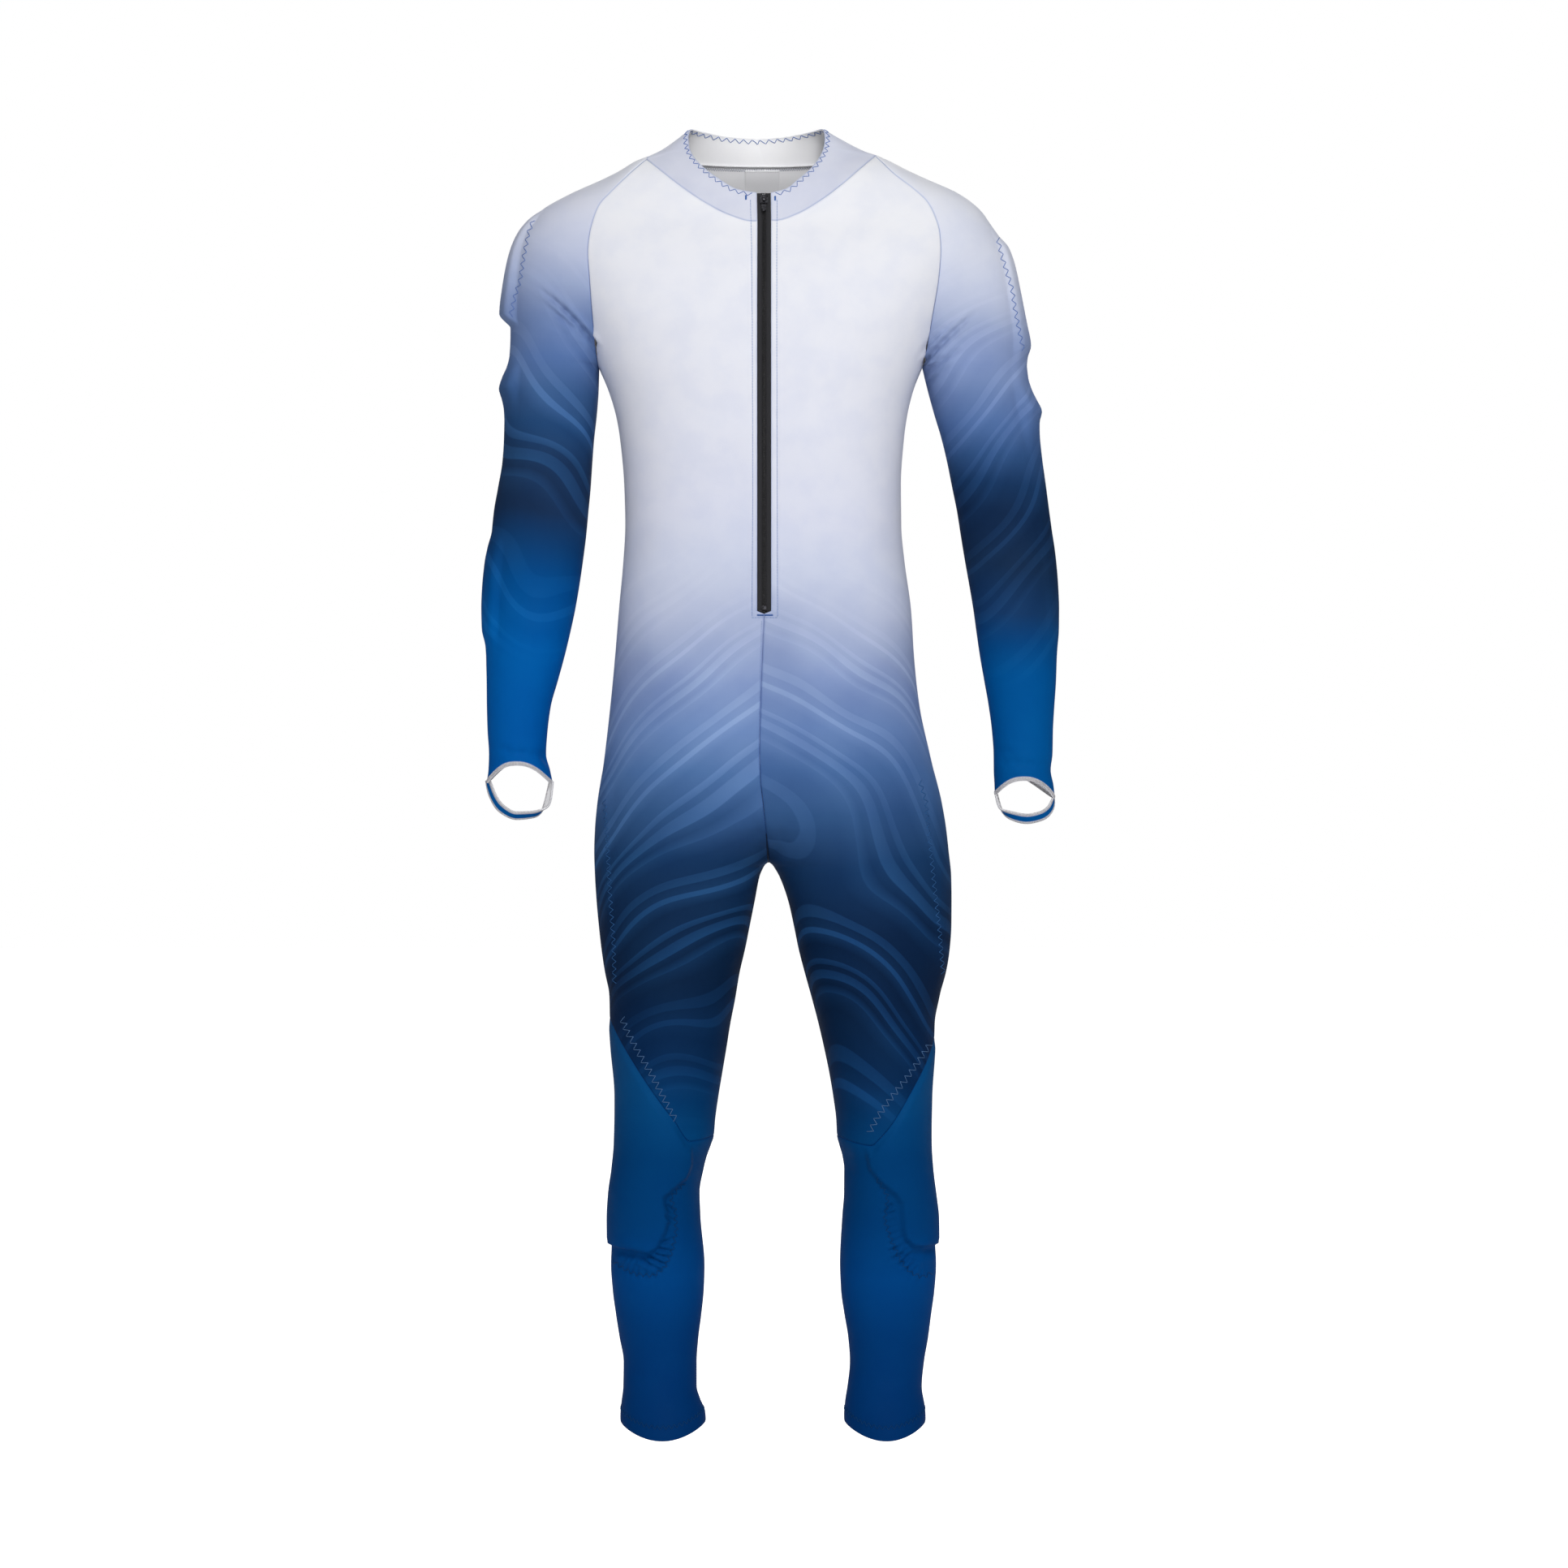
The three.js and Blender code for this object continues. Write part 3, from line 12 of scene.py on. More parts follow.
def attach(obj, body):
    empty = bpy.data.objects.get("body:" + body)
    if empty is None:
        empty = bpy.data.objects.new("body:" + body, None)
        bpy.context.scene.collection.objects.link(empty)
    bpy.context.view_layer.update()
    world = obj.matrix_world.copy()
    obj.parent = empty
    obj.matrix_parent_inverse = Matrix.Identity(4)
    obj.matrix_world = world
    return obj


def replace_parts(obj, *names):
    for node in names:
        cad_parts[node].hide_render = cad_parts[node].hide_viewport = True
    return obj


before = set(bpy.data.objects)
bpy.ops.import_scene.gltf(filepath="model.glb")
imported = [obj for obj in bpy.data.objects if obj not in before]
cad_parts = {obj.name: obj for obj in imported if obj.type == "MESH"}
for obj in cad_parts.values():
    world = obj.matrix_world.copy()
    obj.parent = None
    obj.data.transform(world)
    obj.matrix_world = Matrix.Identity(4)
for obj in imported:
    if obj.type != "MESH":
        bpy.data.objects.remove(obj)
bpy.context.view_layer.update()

MM = 0.001
SIDES = {"right": -1, "left": 1}

# Thickness of the cloth, and the heights and depths that it shares with the solids
CLOTH = 1.5
UNDERARM = -235
CROTCH = -796
THIGH_EVEN = -930
SHIN_EVEN = -1132
ZIP_BOTTOM = -517
ZIP_HALF = 7.7
SHOULDER_Y = 5
SHOULDER_TOP = 4
BACK_NECK = 2
FRONT_NECK = -80.4
CAP_STEPS = 13

# The photograph's view: the camera stands in front of the suit, and one pixel is PIXEL mm at y = 0.
PIXEL = 0.92
PIXEL_X = 942
PIXEL_Y = 197
CAMERA = (22, -4200, -707.5)
PHOTO_SIZE = 1932
SENSOR = 36


# Curves and tables

def smooth(keys, values):
    """Curve through points with rising keys, without overshoot between them."""
    keys = np.asarray(keys, float)
    values = np.asarray(values, float)
    steps = np.diff(keys)
    slopes = np.diff(values) / steps
    before, after = slopes[:-1], slopes[1:]
    total = np.where(before + after == 0, 1, before + after)
    tangents = np.concatenate([
        slopes[:1],
        np.where(before * after > 0, 2 * before * after / total, 0),
        slopes[-1:],
    ])

    def curve(x):
        x = np.clip(x, keys[0], keys[-1])
        i = np.clip(np.searchsorted(keys, x) - 1, 0, len(keys) - 2)
        h = steps[i]
        s = (x - keys[i]) / h
        rise = s * s * (3 - 2 * s)
        leave = s * (1 - s) ** 2 * h * tangents[i]
        arrive = s * s * (1 - s) * h * tangents[i + 1]
        return values[i] * (1 - rise) + values[i + 1] * rise + leave - arrive

    return curve


def table(names, rows):
    """A table's named columns, each as a smooth curve of the first column."""
    rows = np.array(sorted(rows), float)
    return {name: smooth(rows[:, 0], rows[:, i]) for i, name in enumerate(names.split()) if i}


def mix(a, b, share):
    return a + (b - a) * share


def ramp(x, low, high):
    s = np.clip((x - low) / (high - low), 0, 1)
    return s * s * (3 - 2 * s)


def way_along(grid, axis=0):
    """Distance of each point of a line or grid from the first one, along an axis."""
    steps = np.linalg.norm(np.diff(grid, axis=axis), axis=-1)
    first = np.zeros_like(np.take(steps, [0], axis=axis))
    return np.concatenate([first, np.cumsum(steps, axis=axis)], axis=axis)


def points(x, y, z):
    return np.stack(np.broadcast_arrays(x, y, z), axis=-1).astype(float)


def unit(vectors):
    return vectors / np.maximum(np.linalg.norm(vectors, axis=-1, keepdims=True), 1e-9)


# Side view: how far the front and back lie from the plane "centre", and how square the section is.
PROFILE = table("z front back centre square", [
    (12, 12, 42, 5, 3), (0, 27, 55, 5, 3), (-10, 41, 60, 5, 3), (-25, 55, 68, 5, 3),
    (-50, 69, 79, 5, 2.94), (-80, 82, 90, 5, 2.86), (-110, 97, 97, 5, 2.76),
    (-150, 110, 103, 5, 2.62), (-200, 117, 105, 5, 2.5), (-235, 117, 104, 5, 2.46),
    (-300, 110, 98, 4, 2.42), (-400, 98, 87, 2, 2.4), (-500, 100, 93, 1, 2.4),
    (-600, 106, 107, 2, 2.38), (-680, 112, 119, 4, 2.3), (-740, 112, 121, 6, 2.2),
    (-796, 104, 112, 8, 2.12), (-840, 98, 104, 7, 2.06), (-900, 94, 94, 4, 2.02),
    (-1000, 80, 80, 2, 2), (-1061, 72, 70, 1, 2), (-1110, 67, 62, 1, 2), (-1150, 62, 59, 3, 2),
    (-1200, 57, 62, 7, 2), (-1254, 53, 63, 10, 2), (-1309, 48, 57, 12, 2), (-1364, 43, 48, 13, 2),
    (-1400, 45, 47, 10, 2), (-1432, 53, 52, 6, 2), (-1450, 56, 54, 5, 2),
])

# Front view: distance of each outer silhouette from x = 0, and x of the middle line.
WIDTH = table("z right left middle", [
    (12, 205, 205, 0), (0, 220, 215, 0), (-25, 238, 233, 0), (-50, 245, 239, 0),
    (-67, 245, 238, 0), (-85, 243, 236, 0), (-104, 238, 230, 0), (-131, 230, 222, 0),
    (-168, 217, 208, 0), (-205, 201, 192, 0), (-235, 188, 179, 0), (-262, 176.5, 168.5, 0),
    (-290, 168.3, 161.8, 0), (-316, 164, 158.3, 0), (-371, 159.2, 154.6, 0),
    (-415, 158.2, 154.6, 0), (-454, 160, 158, 0), (-509, 164.6, 165.5, 0),
    (-564, 169.3, 169.6, -2), (-620, 174.8, 176, -4), (-674, 181.2, 187.7, -5),
    (-702, 185, 194, -4), (-730, 188.3, 199.6, -1), (-757, 190.5, 204, 2), (-785, 191.4, 207, 4),
    (-812, 190.6, 209.6, 4.6), (-840, 188.8, 210, 4.6), (-868, 186, 209.8, 4.6),
    (-895, 183, 208, 4.6), (-923, 179.4, 204, 4.6), (-950, 175.8, 198, 4.6),
    (-978, 175.2, 193, 4.6), (-1006, 173.6, 192.4, 4.6), (-1061, 168.8, 188.6, 4.6),
    (-1116, 168.2, 186.8, 4.6), (-1144, 169.8, 188, 4.6), (-1171, 172.8, 190.4, 4.6),
    (-1199, 174, 193, 4.6), (-1226, 173.8, 193.6, 4.6), (-1254, 174.8, 195, 4.6),
    (-1282, 173, 193.2, 4.6), (-1309, 169.3, 189.5, 4.6), (-1337, 164.8, 185.8, 4.6),
    (-1364, 160.3, 181.2, 4.6), (-1392, 160.5, 178.6, 4.6), (-1420, 163.5, 182.6, 4.6),
    (-1450, 163, 183, 4.6),
])

# Front view of the legs: distance of each inner silhouette from x = 0.
INSEAM = table("z right left", [
    (-796, -4.6, 4.6), (-799, -0.6, 8.6), (-804, 2.2, 12), (-812, 5.5, 16.6), (-840, 11, 26.7),
    (-868, 16.6, 33), (-895, 22, 38.6), (-923, 28.5, 46), (-950, 33, 53.4), (-978, 38.6, 60.7),
    (-1006, 43.2, 67.2), (-1033, 47.8, 72.7), (-1061, 52.4, 77.3), (-1088, 56, 81),
    (-1106, 57.4, 82), (-1116, 60.5, 84.5), (-1130, 65.5, 88.4), (-1144, 69, 90.2),
    (-1171, 73.6, 90.2), (-1199, 72.7, 88.3), (-1254, 68, 85.6), (-1282, 69, 86.5),
    (-1309, 71.8, 90.2), (-1337, 75.4, 94.8), (-1364, 77.3, 96.6), (-1392, 77.3, 93.8),
    (-1406, 73.4, 91.5), (-1420, 67.6, 90), (-1450, 65.6, 91),
])

# Share of a half section's outer width that its oval reaches across the middle.
SPLIT = table("z across", [
    (-630, 1), (-660, 0.9), (-690, 0.78), (-720, 0.6), (-750, 0.36), (-770, 0.18), (-785, 0.06),
    (-796, 0),
])

# The back is a little narrower than the front inside the sleeves.
BACK_WIDTH = table("z right left", [
    (12, 142, 140), (0, 160, 157), (-30, 205, 201), (-60, 222, 217), (-100, 228, 222),
    (-150, 222, 214), (-200, 205, 196), (-235, 188, 179),
])

# Raglan seams from the underarm (0) to the collar (1): distance from x = 0, and height.
FRONT_RAGLAN = table("share rightX rightZ leftX leftZ", [
    (0, 188, -235, 179, -235), (0.1, 190, -211.8, 183.5, -211.4), (0.25, 192.9, -177, 189.6, -176),
    (0.4, 195.2, -142, 195.3, -140.4), (0.53, 197.2, -112, 197.4, -110),
    (0.61, 195.4, -93.5, 196.2, -91), (0.69, 191.2, -75, 191, -72), (0.76, 184.9, -59, 182.6, -55.5),
    (0.83, 172.5, -44.8, 169, -42), (0.92, 151.9, -23.2, 145, -22), (1, 132.7, -3.4, 124.7, 1.5),
])
BACK_RAGLAN = table("share rightX rightZ leftX leftZ", [
    (0, 188, -235, 179, -235), (0.12, 184.5, -206, 176.5, -206), (0.25, 179.5, -174, 172.5, -174),
    (0.4, 172, -139, 166, -139), (0.55, 162.5, -103, 158, -103), (0.7, 150, -66, 146, -66),
    (0.85, 133, -30, 129, -30), (1, 111, 7, 107, 8),
])

# Top of the shoulder and outer side of the upper arm in front view, without the pads.
SHOULDER = table("z right left", [
    (-235, 290.7, 296), (-205, 288.4, 294.4), (-192, 288.2, 292.5), (-177, 290.5, 290.2),
    (-150, 289.6, 285.6), (-122, 287, 280), (-104, 283.4, 274), (-85.6, 276.5, 264.4),
    (-69, 264, 253.5), (-58, 254, 245.4), (-39.6, 222.6, 222), (-21, 180, 180.3),
    (-12, 162, 161), (-2.8, 147, 143), (4, 130, 128),
])

# Sleeve below the underarm: outer and inner silhouettes, half depth and how far back it hangs.
SLEEVE = table("z rightOuter rightInner leftOuter leftInner depth centre", [
    (-235, 290.7, 188, 296, 179, 60, 5), (-260, 293.2, 188.6, 298.4, 184.9, 58.5, 5),
    (-288, 295.1, 190.4, 303.5, 192.3, 57, 5), (-316, 295.8, 193.2, 309.2, 200.6, 55, 5),
    (-343, 297.6, 195, 314.4, 207, 53, 4), (-371, 302.4, 196.9, 318.8, 212.5, 51.5, 4),
    (-398, 307, 199.6, 322.2, 218, 50.5, 3), (-426, 309.6, 202.4, 325.7, 222.6, 50, 2),
    (-454, 311.6, 206, 328.4, 227.2, 49, 0), (-481, 313.6, 209.8, 330.3, 231.8, 47.5, -3),
    (-509, 314.6, 214.4, 331.2, 236.4, 46, -6), (-536, 314.8, 219.9, 331.2, 240, 44, -9),
    (-564, 314.6, 226.3, 330.3, 243.8, 41, -12), (-592, 313.9, 233.7, 329.4, 248.4, 37.5, -14),
    (-619, 313.6, 241, 327.5, 253, 34.5, -16), (-647, 312.8, 244.7, 325.7, 256.7, 32.5, -17),
    (-674, 311, 246.4, 324.9, 258.5, 31, -18), (-692, 311.6, 242, 322.8, 258.6, 31, -18),
    (-709, 313.6, 239.2, 326, 259.4, 31, -18), (-733, 313.6, 238.6, 328.5, 260, 31, -18),
])

# How far the arm pads stand out, by the height of the silhouette.
ARM_PAD = table("z right left", [
    (-58, 0, 0), (-72, 4, 0), (-84, 4.5, 0.6), (-104, 6, 5), (-140, 9, 5.4), (-179, 11.4, 6),
    (-190, 0, 6.4), (-211, 0, 7.4), (-224, 0, 3), (-235, 2, 1.6), (-247, 6, 2), (-259, 8.4, 4.4),
    (-272, 4, 8.5), (-284, 1, 12), (-297, 0, 7), (-320, 0, 3), (-350, 0, 1), (-420, 0, 0.6),
    (-440, 3.4, 1.4), (-458, 5.4, 1.8), (-500, 6, 2), (-532, 5, 1.6), (-552, 0.8, 0.4), (-564, 0, 0),
])
ARM_PAD_START = (40, 54)
ARM_PAD_END = (126, 140)

# Shin pads: how far each stands out, and its inner and lower edge in photograph pixels. The ranges
# after them are how far the edge's soft and crisp stretches rise, in mm, and the angles at which the
# pad starts beside the inseam, thins out, turns to the side and ends behind.
SHIN_PAD = table("z right left", [
    (-965, 0, 0), (-978, 1.8, 0), (-1005, 2, 2.4), (-1050, 2.4, 2.6), (-1086, 3.2, 3.4),
    (-1110, 4.4, 4.2), (-1134, 6, 5), (-1157, 7.2, 6), (-1178, 8, 7), (-1206, 8.6, 7.8),
    (-1250, 8.8, 8),
])
SHIN_PAD_EDGE = {
    "right": [(851, 1396), (853, 1416), (853, 1436), (846, 1453), (832, 1466), (820, 1477), (821, 1489),
              (825, 1504), (821, 1520), (811, 1537), (799, 1544), (776, 1541), (758, 1535), (742, 1529),
              (690, 1522)],
    "left": [(1063, 1406), (1067, 1424), (1070, 1441), (1083, 1458), (1101, 1474), (1108, 1484),
             (1109, 1500), (1110, 1514), (1114, 1527), (1123, 1535), (1138, 1536), (1154, 1533),
             (1210, 1528)],
}
SHIN_PAD_SOFT = (-2, 6)
SHIN_PAD_CRISP = (-1, 2.2)
SHIN_PAD_BOTTOM = (-1228, -1222)
SHIN_PAD_INSEAM = (-80, -60)
SHIN_PAD_THIN = (35, 90)
SHIN_PAD_TURN = (74, 92)
SHIN_PAD_BACK = (115, 129)
SHIN_PAD_START = 14
SHIN_PAD_SIDE = 0.63

# Hip pads: how far they stand out, and the angle of the front edge.
HIP_PAD = table("z height edge", [
    (-690, 0, 66), (-730, 1.6, 62), (-790, 2, 56), (-860, 2, 54), (-910, 1.6, 58), (-940, 0, 62),
])

# Rows of the chest and of the sleeve's cap, from the underarm (0) to the collar: share of the way up
# the raglan seams and the shoulder line, and the angles at which the cap leaves the two seams.
CAP = table("step raglan topRight topLeft front back", [
    (0, 0, 0, 0, -90, -90), (1, 0.035, 0.18, 0.1, -60, -60), (2, 0.07, 0.234, 0.21, -49, -50),
    (3, 0.1, 0.38, 0.37, -41, -42), (4, 0.125, 0.43, 0.42, -36, -37),
    (5, 0.15, 0.475, 0.47, -31, -33), (6, 0.24, 0.54, 0.54, -14, -20),
    (7, 0.36, 0.61, 0.61, 0, -6), (8, 0.48, 0.68, 0.67, 10, 6), (9, 0.6, 0.75, 0.74, 18, 14),
    (10, 0.71, 0.82, 0.82, 21, 18), (11, 0.81, 0.89, 0.89, 22, 20), (12, 0.91, 0.95, 0.95, 20, 20),
    (13, 1, 1, 1, 14, 14),
])
CAP_ROOT_STEPS = 2
ROOT_DEPTH = 60

CUFF = {
    "right": {"front": -687, "back": -684, "outer": -706.5, "inner": -708, "bend": 2.4},
    "left": {"front": -704, "back": -700, "outer": -724, "inner": -720, "bend": 1.1},
}
CUFF_EVEN = -667
HEM = {"side": -1430, "front": -1444, "back": -1437}
HEM_EVEN = -1412

# Height of the knee seam by the share of the leg's half width, from the inseam to the outer side.
KNEE_SEAM = {
    "right": table("across z", [
        (-1, -1105), (-0.559, -1107.5), (-0.2, -1083), (0.31, -1046), (0.75, -1002), (1, -972),
    ]),
    "left": table("across z", [
        (-1, -1105), (-0.309, -1111.5), (-0.08, -1102), (0.2, -1084), (0.6, -1048),
        (0.85, -1019), (1, -994),
    ]),
}
KNEE_CORNER = {"right": -34, "left": -18}
KNEE_FRONT = {
    "right": [-90, -62, -34, -12, 10, 32, 52, 71, 90],
    "left": [-90, -66, -42, -18, 6, 29, 51, 71, 90],
}
KNEE_BACK = {"right": [-90, -62, -34, -3, 28, 59, 90], "left": [-90, -54, -18, 9, 36, 63, 90]}

# Front neck seam: share of its depth by the share of the way from the middle to its corner.
NECK_SEAM = table("across drop", [
    (0, 1), (0.11, 0.997), (0.29, 0.905), (0.49, 0.72), (0.705, 0.452), (0.868, 0.21), (1, 0),
])
NECK_DEPTH = {"right": 77.3, "left": 81.5}

# Top edge of the collar from the zip (0) to the middle of the back (1).
RIM = table("share half middle y z", [
    (0, 7.9, -0.6, -61, -46.5), (0.1, 27, -3.4, -59, -42), (0.2, 44.5, -6, -51, -29.5),
    (0.3, 60, -7.4, -38, -15), (0.4, 72, -8.8, -22, 2), (0.47, 76, -9, -10, 14),
    (0.53, 77.4, -9.2, 1, 27), (0.59, 76, -9.3, 12, 36.5), (0.64, 72.5, -9.3, 21, 38.6),
    (0.75, 58, -9.2, 37, 37.4), (0.87, 32, -9, 48, 34.4), (1, 0, -8.6, 53, 32.6),
])

# Hand loops: middle of the strap from the outer side of the cuff round to the inner side, and how
# far its front edge leans sideways and up.
HAND_LOOP = {
    "right": table("step x z leanX leanZ", [
        (0, -312.9, -703, 0.5, 0), (1, -307, -721, 0.9, 0.2), (2, -297.5, -735, 0.8, 0.9),
        (3, -280, -743.5, 0.1, 1), (4, -261, -742, 0, 0.7), (5, -246, -731, 0.8, 0.3),
        (6, -240, -704, 0.4, 0),
    ]),
    "left": table("step x z leanX leanZ", [
        (0, 327, -720.5, 0, 0), (1, 324, -733, -0.5, 0.5), (2, 314, -743, -0.4, 1.6),
        (3, 296, -747, 0, 2), (4, 279, -743.5, 0, 1.1), (5, 266, -735, -0.3, 0.2),
        (6, 260.3, -716.5, -0.2, 0),
    ]),
}
LOOP_Y = -18
LOOP_WIDTH = 13
LOOP_END = 6

# Zip: the tapes, the coil's teeth, the core behind them and the cords along the coil. A tooth is a bent
# wire, so it has a reach, an offset from the middle, a depth, a rise and the half turns it covers.
TAPE_INNER = 2.3
TAPE_OUTER = 7.4
TAPE_RECESS = 0.6
TAPE_THICK = 1.2
ZIP_LIFT = 1.3
TAPE_RIB = 0.1
TOOTH_PITCH = 1.4
TOOTH = {"sunk": 0.45, "offset": 0.55, "reach": 1.5, "depth": 0.42, "rise": 0.35, "turn": (-0.3, 1.3)}
CORE_PLACES = (-1.4, -0.47, 0.47, 1.4)
CORE_DEPTH = 1.3
CORE_RADIUS = 0.55
CORD_PLACES = (-2.05, 2.05)
CORD_DEPTH = 0.1
CORD_RADIUS = 0.3
METAL_BEVEL = 0.25

# Neck label inside the middle of the back, and the radius of the roll along the neck seam
LABEL = {"left": -23.3, "right": 16.8, "top": -1, "bottom": -37, "thick": 0.6, "clear": 1.8, "wave": 0.12}
SEAM_ROLL = 0.8


# Forms of the cloth, the same as those of the solids

def seen(place):
    """Pixel of the photograph at which each point shows."""
    scale = (place[..., 1:2] - CAMERA[1]) / -CAMERA[1]
    shown = np.array([CAMERA[0], CAMERA[2]]) + (place[..., [0, 2]] - [CAMERA[0], CAMERA[2]]) / scale
    return np.stack([PIXEL_X + shown[..., 0] / PIXEL, PIXEL_Y - shown[..., 1] / PIXEL], axis=-1)


def from_line(place, line):
    """Signed distance of 2-D places from a polyline, the run to the nearest point and its length."""
    line = np.asarray(line, float)
    best = np.full(place.shape[:-1], 1e9)
    signed = best.copy()
    run = np.zeros_like(best)
    passed = 0.0
    for a, b in zip(line[:-1], line[1:]):
        d = b - a
        length = np.hypot(*d)
        t = np.clip(((place - a) @ d) / length ** 2, 0, 1)
        off = place - a - t[..., None] * d
        far = np.hypot(off[..., 0], off[..., 1])
        nearer = far < best
        side = np.sign(d[0] * (place[..., 1] - a[1]) - d[1] * (place[..., 0] - a[0]))
        best = np.where(nearer, far, best)
        signed = np.where(nearer, far * side, signed)
        run = np.where(nearer, passed + t * length, run)
        passed += length
    return signed, run, passed


def bulge(value, square):
    return np.sign(value) * np.abs(value) ** (2 / square)


def body_oval(name, z):
    """Middle, centre and half width of a half section, the last two from the middle line."""
    middle = WIDTH["middle"](z)
    outer = WIDTH[name](z) - SIDES[name] * middle
    leg = INSEAM[name](z) - SIDES[name] * middle
    inner = np.where(z < CROTCH, leg, -SPLIT["across"](z) * outer)
    return middle, (outer + inner) / 2, (outer - inner) / 2


def start_angle(name, z):
    _, centre, half = body_oval(name, z)
    clip = np.where(z > ZIP_BOTTOM, ZIP_HALF, 0)
    share = np.clip((clip - centre) / half, -1, 1)
    angle = np.degrees(np.arcsin(np.sign(share) * np.abs(share) ** (PROFILE["square"](z) / 2)))
    return np.where(z <= CROTCH, -90, angle)


def hip_pad(z, angle):
    edge = HIP_PAD["edge"](z)
    return HIP_PAD["height"](z) * ramp(angle, edge - 4, edge + 4) * (1 - ramp(angle, 118, 140))


def body_point(name, z, angle, proud=0):
    """A point at height z. The angle is -90 at the inseam, 0 in front, 90 outside, 180 behind."""
    middle, centre, half = body_oval(name, z)
    square = PROFILE["square"](z)
    sine, cosine = np.sin(np.radians(angle)), np.cos(np.radians(angle))
    ahead = bulge(cosine, square)
    depth = np.where(ahead > 0, PROFILE["front"](z), PROFILE["back"](z))
    rise = proud + hip_pad(z, angle)
    x = middle + SIDES[name] * (centre + half * bulge(sine, square) + rise * sine)
    return points(x, PROFILE["centre"](z) - depth * ahead - rise * cosine, z)


def knee_seam(name, angle):
    return KNEE_SEAM[name]["z"](np.sin(np.radians(angle)))


def chest_point(name, x, z, back):
    """Depth of the chest or back at a place in the front view, above the underarm."""
    across = np.clip(np.abs(x) / (BACK_WIDTH if back else WIDTH)[name](z), 0, 1)
    square = PROFILE["square"](z)
    share = (1 - across ** square) ** (1 / square)
    depth = PROFILE["back"](z) if back else -PROFILE["front"](z)
    return points(SIDES[name] * np.abs(x), PROFILE["centre"](z) + share * depth, z)


def raglan_point(name, share, back):
    seam = BACK_RAGLAN if back else FRONT_RAGLAN
    return chest_point(name, seam[name + "X"](share), seam[name + "Z"](share), back)


def neck_seam(name, share, back):
    corner = raglan_point(name, 1.0, back)
    edge = abs(corner[0])
    if back:
        return chest_point(name, edge * share, mix(BACK_NECK, corner[2], share * share), True)
    x = mix(ZIP_HALF, edge, share)
    return chest_point(name, x, corner[2] - NECK_DEPTH[name] * NECK_SEAM["drop"](x / edge), False)


def body_row(name, z, u, back):
    start = start_angle(name, z)
    if back:
        start = np.where(z > ZIP_BOTTOM, 0, start)
    angle = mix(start, 90, u)
    return body_point(name, z, 180 - angle if back else angle)


def knee_row(name, share, u, back):
    seam_angles = (KNEE_BACK if back else KNEE_FRONT)[name]
    seam_angle = np.interp(u, np.linspace(0, 1, len(seam_angles)), seam_angles)
    angle = mix(seam_angle, mix(-90, 90, u), share)
    z = mix(knee_seam(name, angle), THIGH_EVEN, share)
    return body_point(name, z, 180 - angle if back else angle)


def chest_row(name, step, u, back):
    """Fills the space between the underarm row, the neck seam, the middle and the raglan seam."""
    climb = step / CAP_STEPS
    seam = raglan_point(name, CAP["raglan"](step), back)
    start = 0 if back else ZIP_HALF
    bottom = body_row(name, UNDERARM, u, back)
    width = abs(bottom[-1, 0])
    neck = neck_seam(name, u, back)
    top = neck[0, 2]
    corner = neck[-1]
    x = (mix(start, abs(seam[0]), u) + mix(np.abs(bottom[:, 0]), np.abs(neck[:, 0]), climb)
         - mix(mix(start, width, u), mix(start, abs(corner[0]), u), climb))
    z = (mix(mix(UNDERARM, top, climb), seam[2], u) + mix(UNDERARM, neck[:, 2], climb)
         - mix(UNDERARM, mix(top, corner[2], u), climb))
    return chest_point(name, x, z, back)


def arm_pad(name, z, angle):
    return ARM_PAD[name](z) * ramp(angle, *ARM_PAD_START) * (1 - ramp(angle, *ARM_PAD_END))


def cuff_edge(name, angle):
    cuff = CUFF[name]
    out = np.sin(np.radians(angle))
    ahead = np.cos(np.radians(angle)) > 0
    level = np.where(ahead, cuff["front"], cuff["back"])
    bend = np.where(ahead | (out < 0), 2.4, cuff["bend"])
    return mix(level, np.where(out > 0, cuff["outer"], cuff["inner"]), np.abs(out) ** bend)


def sleeve_point(name, z, angle):
    outer = SLEEVE[name + "Outer"](z)
    inner = SLEEVE[name + "Inner"](z)
    rise = arm_pad(name, z, angle)
    sine, cosine = np.sin(np.radians(angle)), np.cos(np.radians(angle))
    x = SIDES[name] * ((outer + inner) / 2 + ((outer - inner) / 2 + rise) * sine)
    return points(x, SLEEVE["centre"](z) - (SLEEVE["depth"](z) + rise) * cosine, z)


